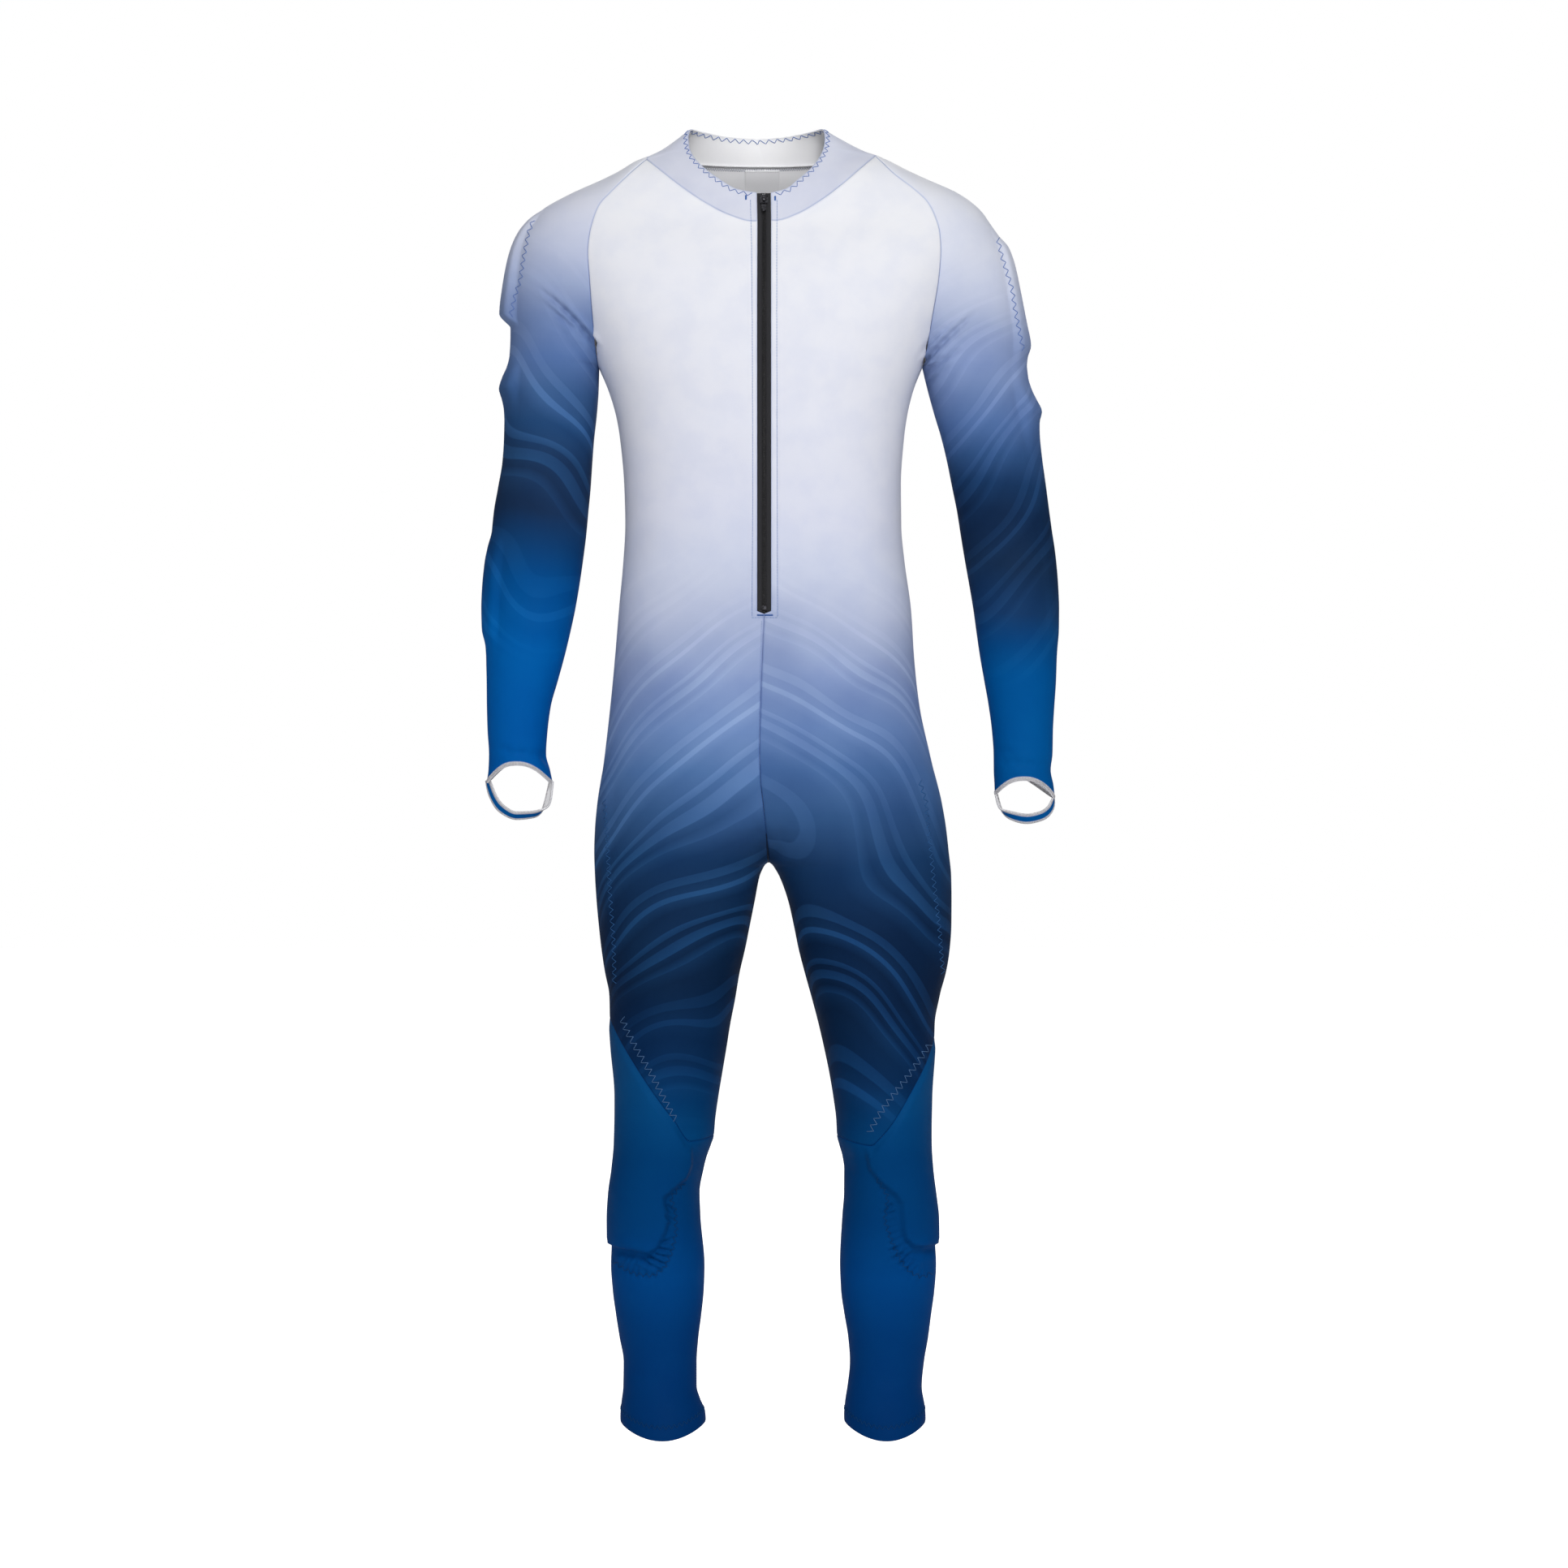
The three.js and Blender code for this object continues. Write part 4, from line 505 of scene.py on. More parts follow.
def cap_arc(name, step, ring_angle, back):
    """Half an arc of the sleeve's cap: part of an ellipse from a raglan seam to the shoulder line."""
    top_z = mix(UNDERARM, SHOULDER_TOP, CAP["top" + name.capitalize()](step))
    top = np.array([SIDES[name] * SHOULDER[name](top_z), SHOULDER_Y, top_z])
    column = "back" if back else "front"

    def reach(at):
        seam = raglan_point(name, CAP["raglan"](at), back)
        return seam, abs(seam[1] - SHOULDER_Y)

    seam, away = reach(step)
    if step < CAP_ROOT_STEPS:
        full = reach(CAP_ROOT_STEPS)[1] / math.cos(math.radians(CAP[column](CAP_ROOT_STEPS)))
        depth = mix(ROOT_DEPTH, full, step / CAP_ROOT_STEPS)
        start = -math.degrees(math.acos(min(away / depth, 1)))
    else:
        start = CAP[column](step)
        depth = away / math.cos(math.radians(start))
    along = np.array([top[0] - seam[0], 0, top[2] - seam[2]])
    length = np.linalg.norm(along)
    half = length / (1 - math.sin(math.radians(start)))
    share = ((270 - ring_angle) if back else (ring_angle + 90)) / 180
    angle = np.radians(mix(start, 90, share))
    rise = arm_pad(name, top_z, ring_angle)
    lift = np.sin(angle)
    depth = depth if back else -depth
    arc = top + np.outer(half * (lift - 1) + rise * lift, along / length)
    arc[:, 1] += (depth + np.sign(depth) * rise) * np.cos(angle)
    return arc


def cap_row(name, step, angles):
    front = cap_arc(name, step, angles[angles <= 90], False)
    back = cap_arc(name, step, angles[angles > 90], True)
    return np.concatenate([front, back])


def shin_point(name, z, angle):
    away, run, length = from_line(seen(body_point(name, z, angle)), SHIN_PAD_EDGE[name])
    inside = -SIDES[name] * away * PIXEL
    crisp = ramp(run, 0.5 * length, 0.6 * length)
    low, high = [mix(soft, hard, crisp) for soft, hard in zip(SHIN_PAD_SOFT, SHIN_PAD_CRISP)]
    share = mix(ramp(inside, low, high), ramp(z, *SHIN_PAD_BOTTOM), ramp(angle, *SHIN_PAD_TURN))
    share = share * (1 - ramp(angle, *SHIN_PAD_BACK)) * mix(1, SHIN_PAD_SIDE, ramp(angle, *SHIN_PAD_THIN))
    share = share * ramp(knee_seam(name, angle) - z, 0, SHIN_PAD_START) * ramp(angle, *SHIN_PAD_INSEAM)
    return body_point(name, z, angle, SHIN_PAD[name](z) * share)


def hem_edge(angle):
    across = np.sin(np.radians(angle)) ** 2
    return mix(np.where(np.cos(np.radians(angle)) > 0, HEM["front"], HEM["back"]), HEM["side"], across)


# Grids of points, with close rows and columns beside the seams. Widths are rough ones, in mm, which
# turn those steps into shares of a row.

EDGE_STEPS = (0, 0.9, 1.9, 3.2, 5)
ZIP_STEPS = (0, 0.9, 1.9, 3.2, 4.4, 5.5, 6.6, 7.8, 9.2, 11, 13.5)
PANEL_WIDTH = 250
COLLAR_RUN = 120
COLLAR_HEIGHT = 60
CROTCH_FINE = (-824, -752, 2.5)
ARM_PLAIN = -262
PUCKERS_END = -1264


def edged(count, width, first=EDGE_STEPS):
    """Shares from 0 to 1 for a row of that width, close together at its ends."""
    low = np.array(first) / width
    high = 1 - np.array(EDGE_STEPS)[::-1] / width
    return np.concatenate([low, np.linspace(low[-1], high[0], count)[1:-1], high])


def cap_steps():
    """Rows of the chest and the sleeve's cap, close together below the collar."""
    return np.concatenate([np.linspace(0, 6, 49)[1:], np.linspace(6, CAP_STEPS, 38)[1:-1],
                           CAP_STEPS - np.array([0.13, 0.055, 0])])


def body_panel(name, back):
    """Rows from the knee seam up to the collar, close together round the crotch."""
    u = edged(52, PANEL_WIDTH) if back else edged(58, PANEL_WIDTH, ZIP_STEPS)
    knee = np.concatenate([np.array([0, 0.008, 0.018, 0.03]), np.linspace(0.05, 1, 22)[:-1]])
    crotch = np.arange(*CROTCH_FINE)
    low = np.linspace(THIGH_EVEN, crotch[0], 20)[:-1]
    hips = np.linspace(crotch[-1] + 3, ZIP_BOTTOM - 2, 44)
    waist = np.linspace(ZIP_BOTTOM + 1, UNDERARM, 52)
    levels = np.concatenate([low, crotch, hips, waist])
    rows = [knee_row(name, share, u, back) for share in knee]
    rows += [body_row(name, z, u, back) for z in levels]
    rows += [chest_row(name, step, u, back) for step in cap_steps()]
    return np.array(rows)


# Rows close together at the edge of the cuff and of its white band, in mm from the edge
CUFF_ROWS = (0, 0.9, 2.2, 3.6, 4.2, 4.8, 5.4, 6.6, 8.2)
CUFF_BAND = 4.6


def sleeve_grid(name):
    """Rows from the cuff up to the collar, and how many of them go all round the arm."""
    near = 0.8 * np.array(EDGE_STEPS)
    front, rest = np.arange(-84, 46, 2.2), np.linspace(48, 264, 66)
    angles = np.concatenate([-90 + near, front, rest, 270 - near[::-1]])
    edge = cuff_edge(name, angles)
    rows = [sleeve_point(name, edge + rise, angles) for rise in CUFF_ROWS[:-1]]
    rows += [sleeve_point(name, mix(edge + CUFF_ROWS[-1], CUFF_EVEN, share), angles)
             for share in np.linspace(0, 1, 12)[:-1]]
    levels = np.concatenate([np.linspace(CUFF_EVEN, ARM_PLAIN, 102)[:-1],
                             np.linspace(ARM_PLAIN, UNDERARM, 12)])
    rows += [sleeve_point(name, np.full(len(angles), z), angles) for z in levels]
    tube = len(rows)
    rows += [cap_row(name, step, angles) for step in cap_steps()]
    return np.array(rows), tube


def leg_grid(name):
    """Rows from the hem up to the knee seam, and columns close together where the pad's puckers are."""
    angles = np.concatenate([np.arange(-90, -40, 3), np.arange(-40, 84, 1.6), np.arange(84, 269, 3)])
    corner = KNEE_CORNER[name]
    angles = np.sort(np.concatenate([angles[np.abs(angles - corner) > 0.6], [corner]]))
    hem = hem_edge(angles)
    rows = [shin_point(name, mix(hem, HEM_EVEN, share), angles)
            for share in np.concatenate([[0, 0.02, 0.05], np.linspace(0.1, 1, 14)[:-1]])]
    levels = np.concatenate([np.linspace(HEM_EVEN, PUCKERS_END, 34)[:-1],
                             np.linspace(PUCKERS_END, SHIN_EVEN, 86)])
    rows += [shin_point(name, np.full(len(angles), z), angles) for z in levels]
    top = knee_seam(name, angles)
    shares = np.concatenate([np.linspace(0, 0.94, 32)[1:], [0.965, 0.982, 0.992, 1]])
    rows += [shin_point(name, mix(SHIN_EVEN, top, share), angles) for share in shares]
    return np.array(rows)


def collar_side(name):
    """Rows from the neck seam up to the rim, columns from the zip to the middle of the back."""
    front = neck_seam(name, edged(34, COLLAR_RUN), False)
    sleeve = cap_row(name, CAP_STEPS, np.linspace(-90, 270, 41))
    back = neck_seam(name, edged(30, COLLAR_RUN), True)[::-1]
    base = np.concatenate([front, sleeve[1:], back[1:]])
    run = way_along(base)
    share = run / run[-1]
    rim = points(RIM["middle"](share) + SIDES[name] * RIM["half"](share), RIM["y"](share), RIM["z"](share))
    climb = edged(16, COLLAR_HEIGHT)
    return base + climb[:, None, None] * (rim - base)


def collar_grid():
    right, left = collar_side("right"), collar_side("left")
    return np.concatenate([left, right[:, ::-1][:, 1:]], axis=1)


# Relief of worn cloth, placed in the front view

# Folds by the face that they lie on: both ends in photograph pixels, how far the middle bows sideways
# in pixels, and the depth and half width in mm. Those behind are like the ones that show.
FOLDS = {
    "front": [
        (738, 430, 658, 350, 4, 5, 2.8), (737, 438, 672, 376, 3, 2, 2.8),
        (736, 420, 668, 366, -5, 1.4, 3.6), (1136, 450, 1212, 380, -4, 4.6, 2.8),
        (1140, 462, 1194, 424, -3, 2.6, 2.8), (1141, 474, 1180, 448, -2, 1.4, 2.6),
        (1132, 444, 1190, 386, -6, 1.2, 3.6), (944, 1060, 903, 985, 6, 1.5, 7),
        (950, 1060, 992, 990, -6, 1.5, 7), (612, 922, 676, 930, 2, 1.6, 4),
        (664, 926, 681, 950, -2, 2.2, 4.5), (1231, 937, 1296, 941, 2, 1.5, 4),
        (1228, 925, 1262, 930, 1, 1.1, 4.5), (622, 560, 700, 585, 5, 0.8, 9),
        (1215, 560, 1290, 590, 4, 0.8, 9), (640, 640, 712, 622, -4, 0.7, 8),
        (765, 690, 800, 640, 4, 0.8, 11), (1114, 690, 1082, 640, -4, 0.8, 11),
        (868, 1413, 862, 1462, 4, 1.0, 6), (1040, 1413, 1046, 1465, -4, 1.0, 6),
        (775, 1690, 835, 1706, 3, 0.8, 6), (1060, 1702, 1128, 1694, 3, 0.8, 6),
        (762, 1540, 822, 1552, 3, 3, 4.5), (1154, 1537, 1098, 1549, -3, 2.4, 4.5),
        (811, 1539, 829, 1542, 0, 3, 2), (806, 1545, 825, 1551, 0, 4, 2),
        (797, 1547, 822, 1559, 1, 4.4, 2.1), (788, 1550, 818, 1567, 1, 3.8, 2.3),
        (816, 1532, 833, 1525, 0, 2.6, 2), (822, 1484, 836, 1497, 2, 2.6, 2.2),
        (820, 1497, 835, 1506, 1, 2, 2), (1093, 1497, 1105, 1492, 0, 2, 2),
        (1108, 1538, 1092, 1543, 0, 2.6, 2), (1114, 1545, 1097, 1553, 0, 3.4, 2),
        (1122, 1547, 1105, 1563, 0, 3.4, 2.2), (1100, 1484, 1087, 1499, 1, 2.4, 2.2),
    ],
    "back": [
        (738, 436, 664, 368, 5, 2.0, 3.4), (739, 446, 690, 416, 3, 1.2, 3.0),
        (1140, 452, 1206, 398, -5, 2.0, 3.4), (1141, 462, 1186, 436, -3, 1.2, 3.0),
        (800, 742, 1085, 750, 6, 1.2, 9), (830, 776, 1050, 770, -5, 0.9, 8),
        (770, 1096, 905, 1078, 8, 1.8, 9), (990, 1078, 1130, 1096, 8, 1.8, 9),
        (790, 1352, 872, 1362, 3, 1.4, 4), (782, 1376, 868, 1380, -3, 1.8, 4.5),
        (1042, 1362, 1122, 1352, 3, 1.4, 4), (1046, 1382, 1130, 1376, -3, 1.8, 4.5),
        (624, 560, 716, 584, -4, 1.0, 6), (1200, 580, 1288, 562, -4, 1.0, 6),
    ],
}

# Gathers of the elastic stitching round the shin pads: the line of the stitching in pixels, and the
# puckers' depth and period, how far they reach towards the pad and away from it, and the groove under
# the stitching, in mm.
GATHER_LINES = {
    "right": [(843, 1458), (826, 1476), (832, 1492), (833, 1517), (828, 1541), (819, 1562), (804, 1572),
              (783, 1570), (766, 1562), (754, 1552)],
    "left": [(1080, 1452), (1094, 1474), (1090, 1504), (1098, 1528), (1108, 1551), (1122, 1568),
             (1136, 1574), (1148, 1568)],
}
GATHER_DEPTH = 1.5
GATHER_PERIOD = 8.6
GATHER_REACH = (8, 17)
GATHER_REACH_OUTSIDE = 4.5
GATHER_GROOVE = 0.7
GATHER_GROOVE_WIDTH = 2.2

# The welts beside the zip and below it: the lines of their stitching in pixels, and the groove in mm
WELT_LINES = [[(924.5, 246), (926, 300), (927, 420), (927.5, 600), (926.5, 760)],
              [(957.5, 246), (957, 300), (957, 420), (957.5, 600), (958, 760)], [(926, 761), (958, 761)]]
WELT_DEPTH = 0.6
WELT_WIDTH = 1.7

# The gathered band above the hem: its height over the edge and its half width in mm, and the middle
# of the ankle that its gathers go round
HEM_BAND = (15, 4.5)
ANKLE_X = 123
ANKLE_Y = 8


def bowed(x0, y0, x1, y1, bow):
    t = np.linspace(0, 1, 9)
    across = np.array([-(y1 - y0), x1 - x0]) / math.hypot(x1 - x0, y1 - y0)
    return np.stack([mix(x0, x1, t), mix(y0, y1, t)], axis=1) + np.outer(4 * t * (1 - t) * bow, across)


def fold_relief(place, normals):
    """A soft trough along each fold, with a low ridge on either side."""
    relief = np.zeros(place.shape[:-1])
    shown = seen(place)
    folds = [(face, *row) for face, rows in FOLDS.items() for row in rows]
    for face, x0, y0, x1, y1, bow, depth, width in folds:
        away, run, length = from_line(shown, bowed(x0, y0, x1, y1, bow))
        away = away * PIXEL
        facing = ramp(normals[..., 1] * (1 if face == "back" else -1), 0.02, 0.3)
        taper = ramp(run, -0.04 * length, 0.1 * length) * (1 - ramp(run, 0.55 * length, length))
        depth_here = depth * (0.8 + 0.2 * np.sin(run * 0.37 + x0))
        trough = np.exp(-(away / width) ** 2)
        ridge = 0.45 * np.exp(-((np.abs(away) - 2.1 * width) / (1.1 * width)) ** 2)
        near = np.abs(away) < 6 * width
        relief += np.where(near, depth_here * taper * facing * (ridge - trough), 0)
    return relief


def welt_relief(place, normals):
    """The narrow welts beside the zip, held down by the topstitching."""
    relief = fold_relief(place, normals)
    shown = seen(place)
    facing = ramp(-normals[..., 1], 0.3, 0.6)
    for line in WELT_LINES:
        away, run, _ = from_line(shown, line)
        relief -= WELT_DEPTH * facing * np.exp(-(away * PIXEL / WELT_WIDTH) ** 2) * ramp(run, -1, 3)
    return relief


def gather_relief(name, place, normals):
    """Uneven puckers across the stitching, deepest under the pad's lower corner."""
    away, run, length = from_line(seen(place), GATHER_LINES[name])
    away = away * PIXEL
    inside = -SIDES[name] * away > 0
    past_start, near_end = ramp(run, 0.3 * length, 0.62 * length), ramp(run, 0.8 * length, length)
    strength = 0.4 + 0.6 * past_start * (1 - 0.6 * near_end)
    towards_pad = mix(*GATHER_REACH, ramp(run, 0.3 * length, 0.6 * length))
    reach = np.where(inside, towards_pad, GATHER_REACH_OUTSIDE)
    envelope = np.exp(-(away / reach) ** 2) * ramp(run, 0, 14) * (1 - ramp(run, length - 10, length))
    turns = run * PIXEL / GATHER_PERIOD + 0.22 * np.sin(run / 13) + 0.1 * np.sin(run / 5.1)
    facing = ramp(-normals[..., 1], 0, 0.25)
    pleat = (0.5 + 0.5 * np.cos(2 * np.pi * turns)) ** 1.6
    groove = GATHER_GROOVE * np.exp(-(away / GATHER_GROOVE_WIDTH) ** 2)
    return -strength * facing * envelope * (GATHER_DEPTH * pleat + groove)


def hem_relief(name, place):
    """Small gathers of the hem's zigzag stitching."""
    middle = WIDTH["middle"](place[..., 2])
    turn = np.arctan2(place[..., 1] - ANKLE_Y, place[..., 0] - middle - SIDES[name] * ANKLE_X)
    height = place[..., 2] - hem_edge(np.degrees(turn) + 90)
    band = np.exp(-((height - HEM_BAND[0]) / HEM_BAND[1]) ** 2)
    wave = np.sin(54 * turn + 2.1 * np.sin(5 * turn)) * (0.6 + 0.4 * np.sin(7 * turn + 1))
    return band * (0.3 * wave - 0.35)


WAVE_HEIGHT = 0.14


def unevenness(place):
    """Slow waves of cloth that is stretched over a body, up to half a millimetre high."""
    x, y, z = place[..., 0], place[..., 1], place[..., 2]
    waves = (np.sin(x / 31 + z / 47) + np.sin(y / 27 - z / 38 + 1.7) + np.sin(z / 61 + x / 83 + 0.6)
             + 0.5 * np.sin(x / 14 - z / 19 + y / 22))
    return WAVE_HEIGHT * waves


# Meshes

MATERIALS = {}
SHEETS = {}

# Edges of the cloth, in mm: how far in and how deep it dips beside one, how far the edge itself is
# drawn in, how far its rounded rim stands out, and how wide the tint along it is: the thread's colour
# and painted shade in the seam.
DIP_REACH = 3
DIP_DEPTH = 0.35
EDGE_DRAW = 0.12
RIM_ROUND = 0.11
THREAD_AND_SHADE_TINT_WIDTH = 1.1
FAR_FROM_SEAM = 99


def add_piece(name, vertices, faces, materials, replaces=(), body="suit", face_materials=None,
              attributes=None, sharp=None):
    mesh = bpy.data.meshes.new(name)
    mesh.from_pydata((np.asarray(vertices) * MM).tolist(), [], [tuple(face) for face in faces])
    for material in materials:
        mesh.materials.append(MATERIALS[material])
    if face_materials is not None:
        mesh.polygons.foreach_set("material_index", np.asarray(face_materials, np.int32))
    for key, values in (attributes or {}).items():
        attribute = mesh.attributes.new(key, "FLOAT", "POINT")
        attribute.data.foreach_set("value", np.asarray(values, np.float32))
    mesh.polygons.foreach_set("use_smooth", np.ones(len(mesh.polygons), bool))
    if sharp:
        mesh.set_sharp_from_angle(angle=math.radians(sharp))
    mesh.update()
    piece = bpy.data.objects.new(name, mesh)
    bpy.context.scene.collection.objects.link(piece)
    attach(piece, body)
    if replaces:
        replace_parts(piece, *replaces)
    return piece


def grid_normals(grid, closed, flip):
    if closed:
        wide = np.concatenate([grid[:, -1:], grid, grid[:, :1]], axis=1)
        across = wide[:, 2:] - wide[:, :-2]
    else:
        across = np.gradient(grid, axis=1)
    up = np.gradient(grid, axis=0)
    normals = unit(np.cross(across, up))
    return -normals if flip else normals


def grid_faces(ids, flip):
    faces = np.stack([ids[:-1, :-1], ids[:-1, 1:], ids[1:, 1:], ids[1:, :-1]], axis=-1).reshape(-1, 4)
    return faces[:, ::-1] if flip else faces


def free_edges(faces, count):
    """Start and end points of the edges that only one face has."""
    starts = faces.reshape(-1)
    ends = np.roll(faces, -1, axis=1).reshape(-1)
    free = ~np.isin(starts * count + ends, ends * count + starts)
    return starts[free], ends[free]


def near_seam(grid, closed, tube_rows):
    """Distance of each point of a grid from its nearest sewn or free edge, along the cloth."""
    low = way_along(grid)
    near = np.minimum(low, low[-1] - low)
    if not closed:
        left = way_along(grid, axis=1)
        sides = np.minimum(left, left[:, -1:] - left)
        sides[:tube_rows] = FAR_FROM_SEAM
        near = np.minimum(near, sides)
    return near


def cloth_piece(name, node, grid, flip, materials, relief=None, closed=False, tube_rows=0, hem=None,
                thickness=CLOTH):
    """A shell with rounded edges. The last column of the lowest tube_rows rows joins the first."""
    count = grid.shape[0] * grid.shape[1]
    normals = grid_normals(grid, closed, flip)
    ids = np.arange(count).reshape(grid.shape[:2])
    if tube_rows:
        both = unit(normals[:tube_rows, 0] + normals[:tube_rows, -1])
        normals[:tube_rows, 0] = both
        normals[:tube_rows, -1] = both
        ids[:tube_rows, -1] = ids[:tube_rows, 0]
    if closed:
        ids = np.concatenate([ids, ids[:, :1]], axis=1)
    quads = grid_faces(ids, flip)
    a, b = free_edges(quads, count)
    edge = np.unique(np.concatenate([a, b]))

    flat = grid.reshape(-1, 3).copy()
    flat_normals = normals.reshape(-1, 3)
    aside = unit(np.cross(flat[b] - flat[a], flat_normals[a]))
    out = np.zeros_like(flat)
    np.add.at(out, a, aside)
    np.add.at(out, b, aside)
    out = unit(out)

    lift = unevenness(grid)
    if relief is not None:
        lift = lift + relief(grid, normals)
    from_seam = near_seam(grid, closed, tube_rows).reshape(-1)
    dip = DIP_DEPTH * np.clip(1 - from_seam / DIP_REACH, 0, 1) ** 2
    flat += flat_normals * (lift.reshape(-1) - dip)[:, None]
    flat[edge] -= out[edge] * EDGE_DRAW
    outer = flat.reshape(grid.shape)
    outer[:tube_rows, -1] = outer[:tube_rows, 0]
    inner = flat - flat_normals * thickness
    middle = (flat + inner) / 2 + out * RIM_ROUND

    rim = np.full(count, -1)
    rim[edge] = 2 * count + np.arange(len(edge))
    rim_upper = np.stack([b, a, rim[a], rim[b]], axis=1)
    rim_lower = np.stack([rim[b], rim[a], a + count, b + count], axis=1)
    parts = [quads, quads[:, ::-1] + count, rim_upper, rim_lower]
    faces = np.concatenate(parts)
    kinds = np.concatenate([np.full(len(part), i % 2) for i, part in enumerate(parts)])
    vertices = np.concatenate([flat, inner, middle[edge]])
    used = np.zeros(len(vertices), bool)
    used[faces.reshape(-1)] = True
    new_ids = np.cumsum(used) - 1
    # Strength of the tint along the seams and rims: the thread's colour and painted shade in the seam.
    seam = np.exp(-(from_seam / THREAD_AND_SHADE_TINT_WIDTH) ** 2)
    band = np.zeros(count) if hem is None else hem(grid).reshape(-1)
    values = {
        "seam": np.concatenate([seam, seam, np.ones(len(edge))])[used],
        "overlock": np.concatenate([band, band, band[edge]])[used],
    }
    add_piece(name, vertices[used], new_ids[faces], materials, [node], face_materials=kinds,
              attributes=values)
    SHEETS[name] = {"grid": outer, "normals": normals, "closed": closed, "faces": quads}


def leg_relief(name):
    def relief(place, normals):
        puckers = gather_relief(name, place, normals)
        return fold_relief(place, normals) + puckers + hem_relief(name, place)

    return relief


def cuff_band(grid):
    """1 on the overlocked band at the cuff's edge, 0 above it."""
    return 1 - ramp(way_along(grid), CUFF_BAND - 0.8, CUFF_BAND + 0.8)


def build_cloth():
    for name in SIDES:
        right = name == "right"
        cloth_piece(f"cloth_front_{name}", f"front_{name}", body_panel(name, False), right,
                    [f"body_{name}", "inner_face"], welt_relief)
        cloth_piece(f"cloth_back_{name}", f"back_{name}", body_panel(name, True), not right,
                    [f"back_{name}", "inner_face"], fold_relief)
        grid, tube = sleeve_grid(name)
        cloth_piece(f"cloth_sleeve_{name}", f"sleeve_{name}", grid, right,
                    [f"sleeve_{name}", "inner_face"], fold_relief, tube_rows=tube,
                    hem=cuff_band)
        cloth_piece(f"cloth_lower_leg_{name}", f"lower_leg_{name}", leg_grid(name), right,
                    ["shin", "inner_face"], leg_relief(name), closed=True)
    cloth_piece("cloth_collar", "collar", collar_grid(), False, ["collar", "inner_face"],
                welt_relief)


# Stitches: tubes of thread on the cloth

def thread_mesh(runs, radius, sides=5):
    """Tubes along runs of (points, normals), each sunk into the cloth at its ends."""
    vertices = []
    faces = []
    around = np.linspace(0, 2 * np.pi, sides, endpoint=False)
    base = 0
    for line, normals in runs:
        line = np.asarray(line, float)
        normals = unit(np.asarray(normals, float))
        tangents = unit(np.gradient(line, axis=0))
        across = unit(np.cross(tangents, normals))
        up = np.cross(across, tangents)
        ring = (line[:, None] + radius * (np.cos(around)[None, :, None] * across[:, None]
                                          + np.sin(around)[None, :, None] * up[:, None]))
        vertices.append(ring.reshape(-1, 3))
        count = len(line)
        for i in range(count - 1):
            for k in range(sides):
                p, q = base + i * sides + k, base + i * sides + (k + 1) % sides
                faces.append((p, p + sides, q + sides, q))
        faces.append(tuple(base + k for k in range(sides)))
        faces.append(tuple(base + (count - 1) * sides + k for k in reversed(range(sides))))
        base += count * sides
    return np.concatenate(vertices), faces


def thread(name, runs, radius, material, sides=5):
    vertices, faces = thread_mesh(runs, radius, sides)
    return add_piece(name, vertices, faces, [material])


def arched(line, normals, height, sunk=0.35):
    """A run that dips into the cloth at both ends."""
    t = np.linspace(0, 1, len(line))
    lift = mix(-sunk, height, np.clip(np.sin(np.pi * t) * 2.2, 0, 1))
    return line + lift[:, None] * normals, normals


def resample(line, step):
    line = np.asarray(line, float)
    run = way_along(line)
    count = max(int(round(run[-1] / step)), 1)
    at = np.linspace(0, run[-1], count + 1)
    return np.stack([np.interp(at, run, line[:, k]) for k in range(line.shape[1])], axis=1)


def places_and_normals(found):
    return [np.array(part) for part in zip(*found)]


class Caster:
    """Finds the cloth behind pixels of the photograph, from the front, or from a nearer start."""

    # A step of more millimetres than this between two points leads to another piece.
    JUMP = 9

    def __init__(self, names, start_y=None):
        vertices, faces, base = [], [], 0
        for name in names:
            outer = SHEETS[name]["grid"].reshape(-1, 3)
            vertices.append(outer)
            faces.append(SHEETS[name]["faces"] + base)
            base += len(outer)
        vertices, faces = np.concatenate(vertices), np.concatenate(faces)
        self.tree = BVHTree.FromPolygons(vertices.tolist(), faces.tolist())
        self.start_y = start_y

    def hit(self, pixel):
        eye = np.array(CAMERA, float)
        aim = np.array([(pixel[0] - PIXEL_X) * PIXEL, 0, (PIXEL_Y - pixel[1]) * PIXEL])
        way = aim - eye
        start = eye if self.start_y is None else eye + way * (self.start_y - eye[1]) / way[1]
        place, normal, _, _ = self.tree.ray_cast(Vector(start), Vector(way).normalized())
        if place is None:
            return None
        normal = np.array(normal)
        return np.array(place), normal if normal @ way < 0 else -normal

    def run(self, pixels, depth=0):
        """Points and normals behind a row of pixels, or None where the cloth ends or jumps."""
        hits = [self.hit(pixel) for pixel in pixels]
        if any(found is None for found in hits):
            return None
        place, normals = places_and_normals(hits)
        if np.linalg.norm(np.diff(place, axis=0), axis=1).max() > self.JUMP:
            return None
        return place + depth * normals, normals

    def stitches(self, starts, ends, shares, height, depth=0):
        """A stitch over those shares of the way from each start to its end, where the cloth shows."""
        runs = []
        for a, b in zip(starts, ends):
            found = self.run(a + shares[:, None] * (b - a), depth)
            if found is not None:
                runs.append(arched(*found, height))
        return runs


ZIGZAG_SHARES = np.linspace(0, 1, 6)


def zigzag_on(caster, line, period, width, depth=0):
    """Zigzag stitches along a line of pixels. The period and width are in mm."""
    middle = resample(line, period / 2 / PIXEL)
    along = unit(np.gradient(middle, axis=0))
    across = np.stack([-along[:, 1], along[:, 0]], axis=1) * (width / 2 / PIXEL)
    corners = middle + across * np.where(np.arange(len(middle)) % 2, 1, -1)[:, None]
    return caster.stitches(corners[:-1], corners[1:], ZIGZAG_SHARES, 0.3, depth)


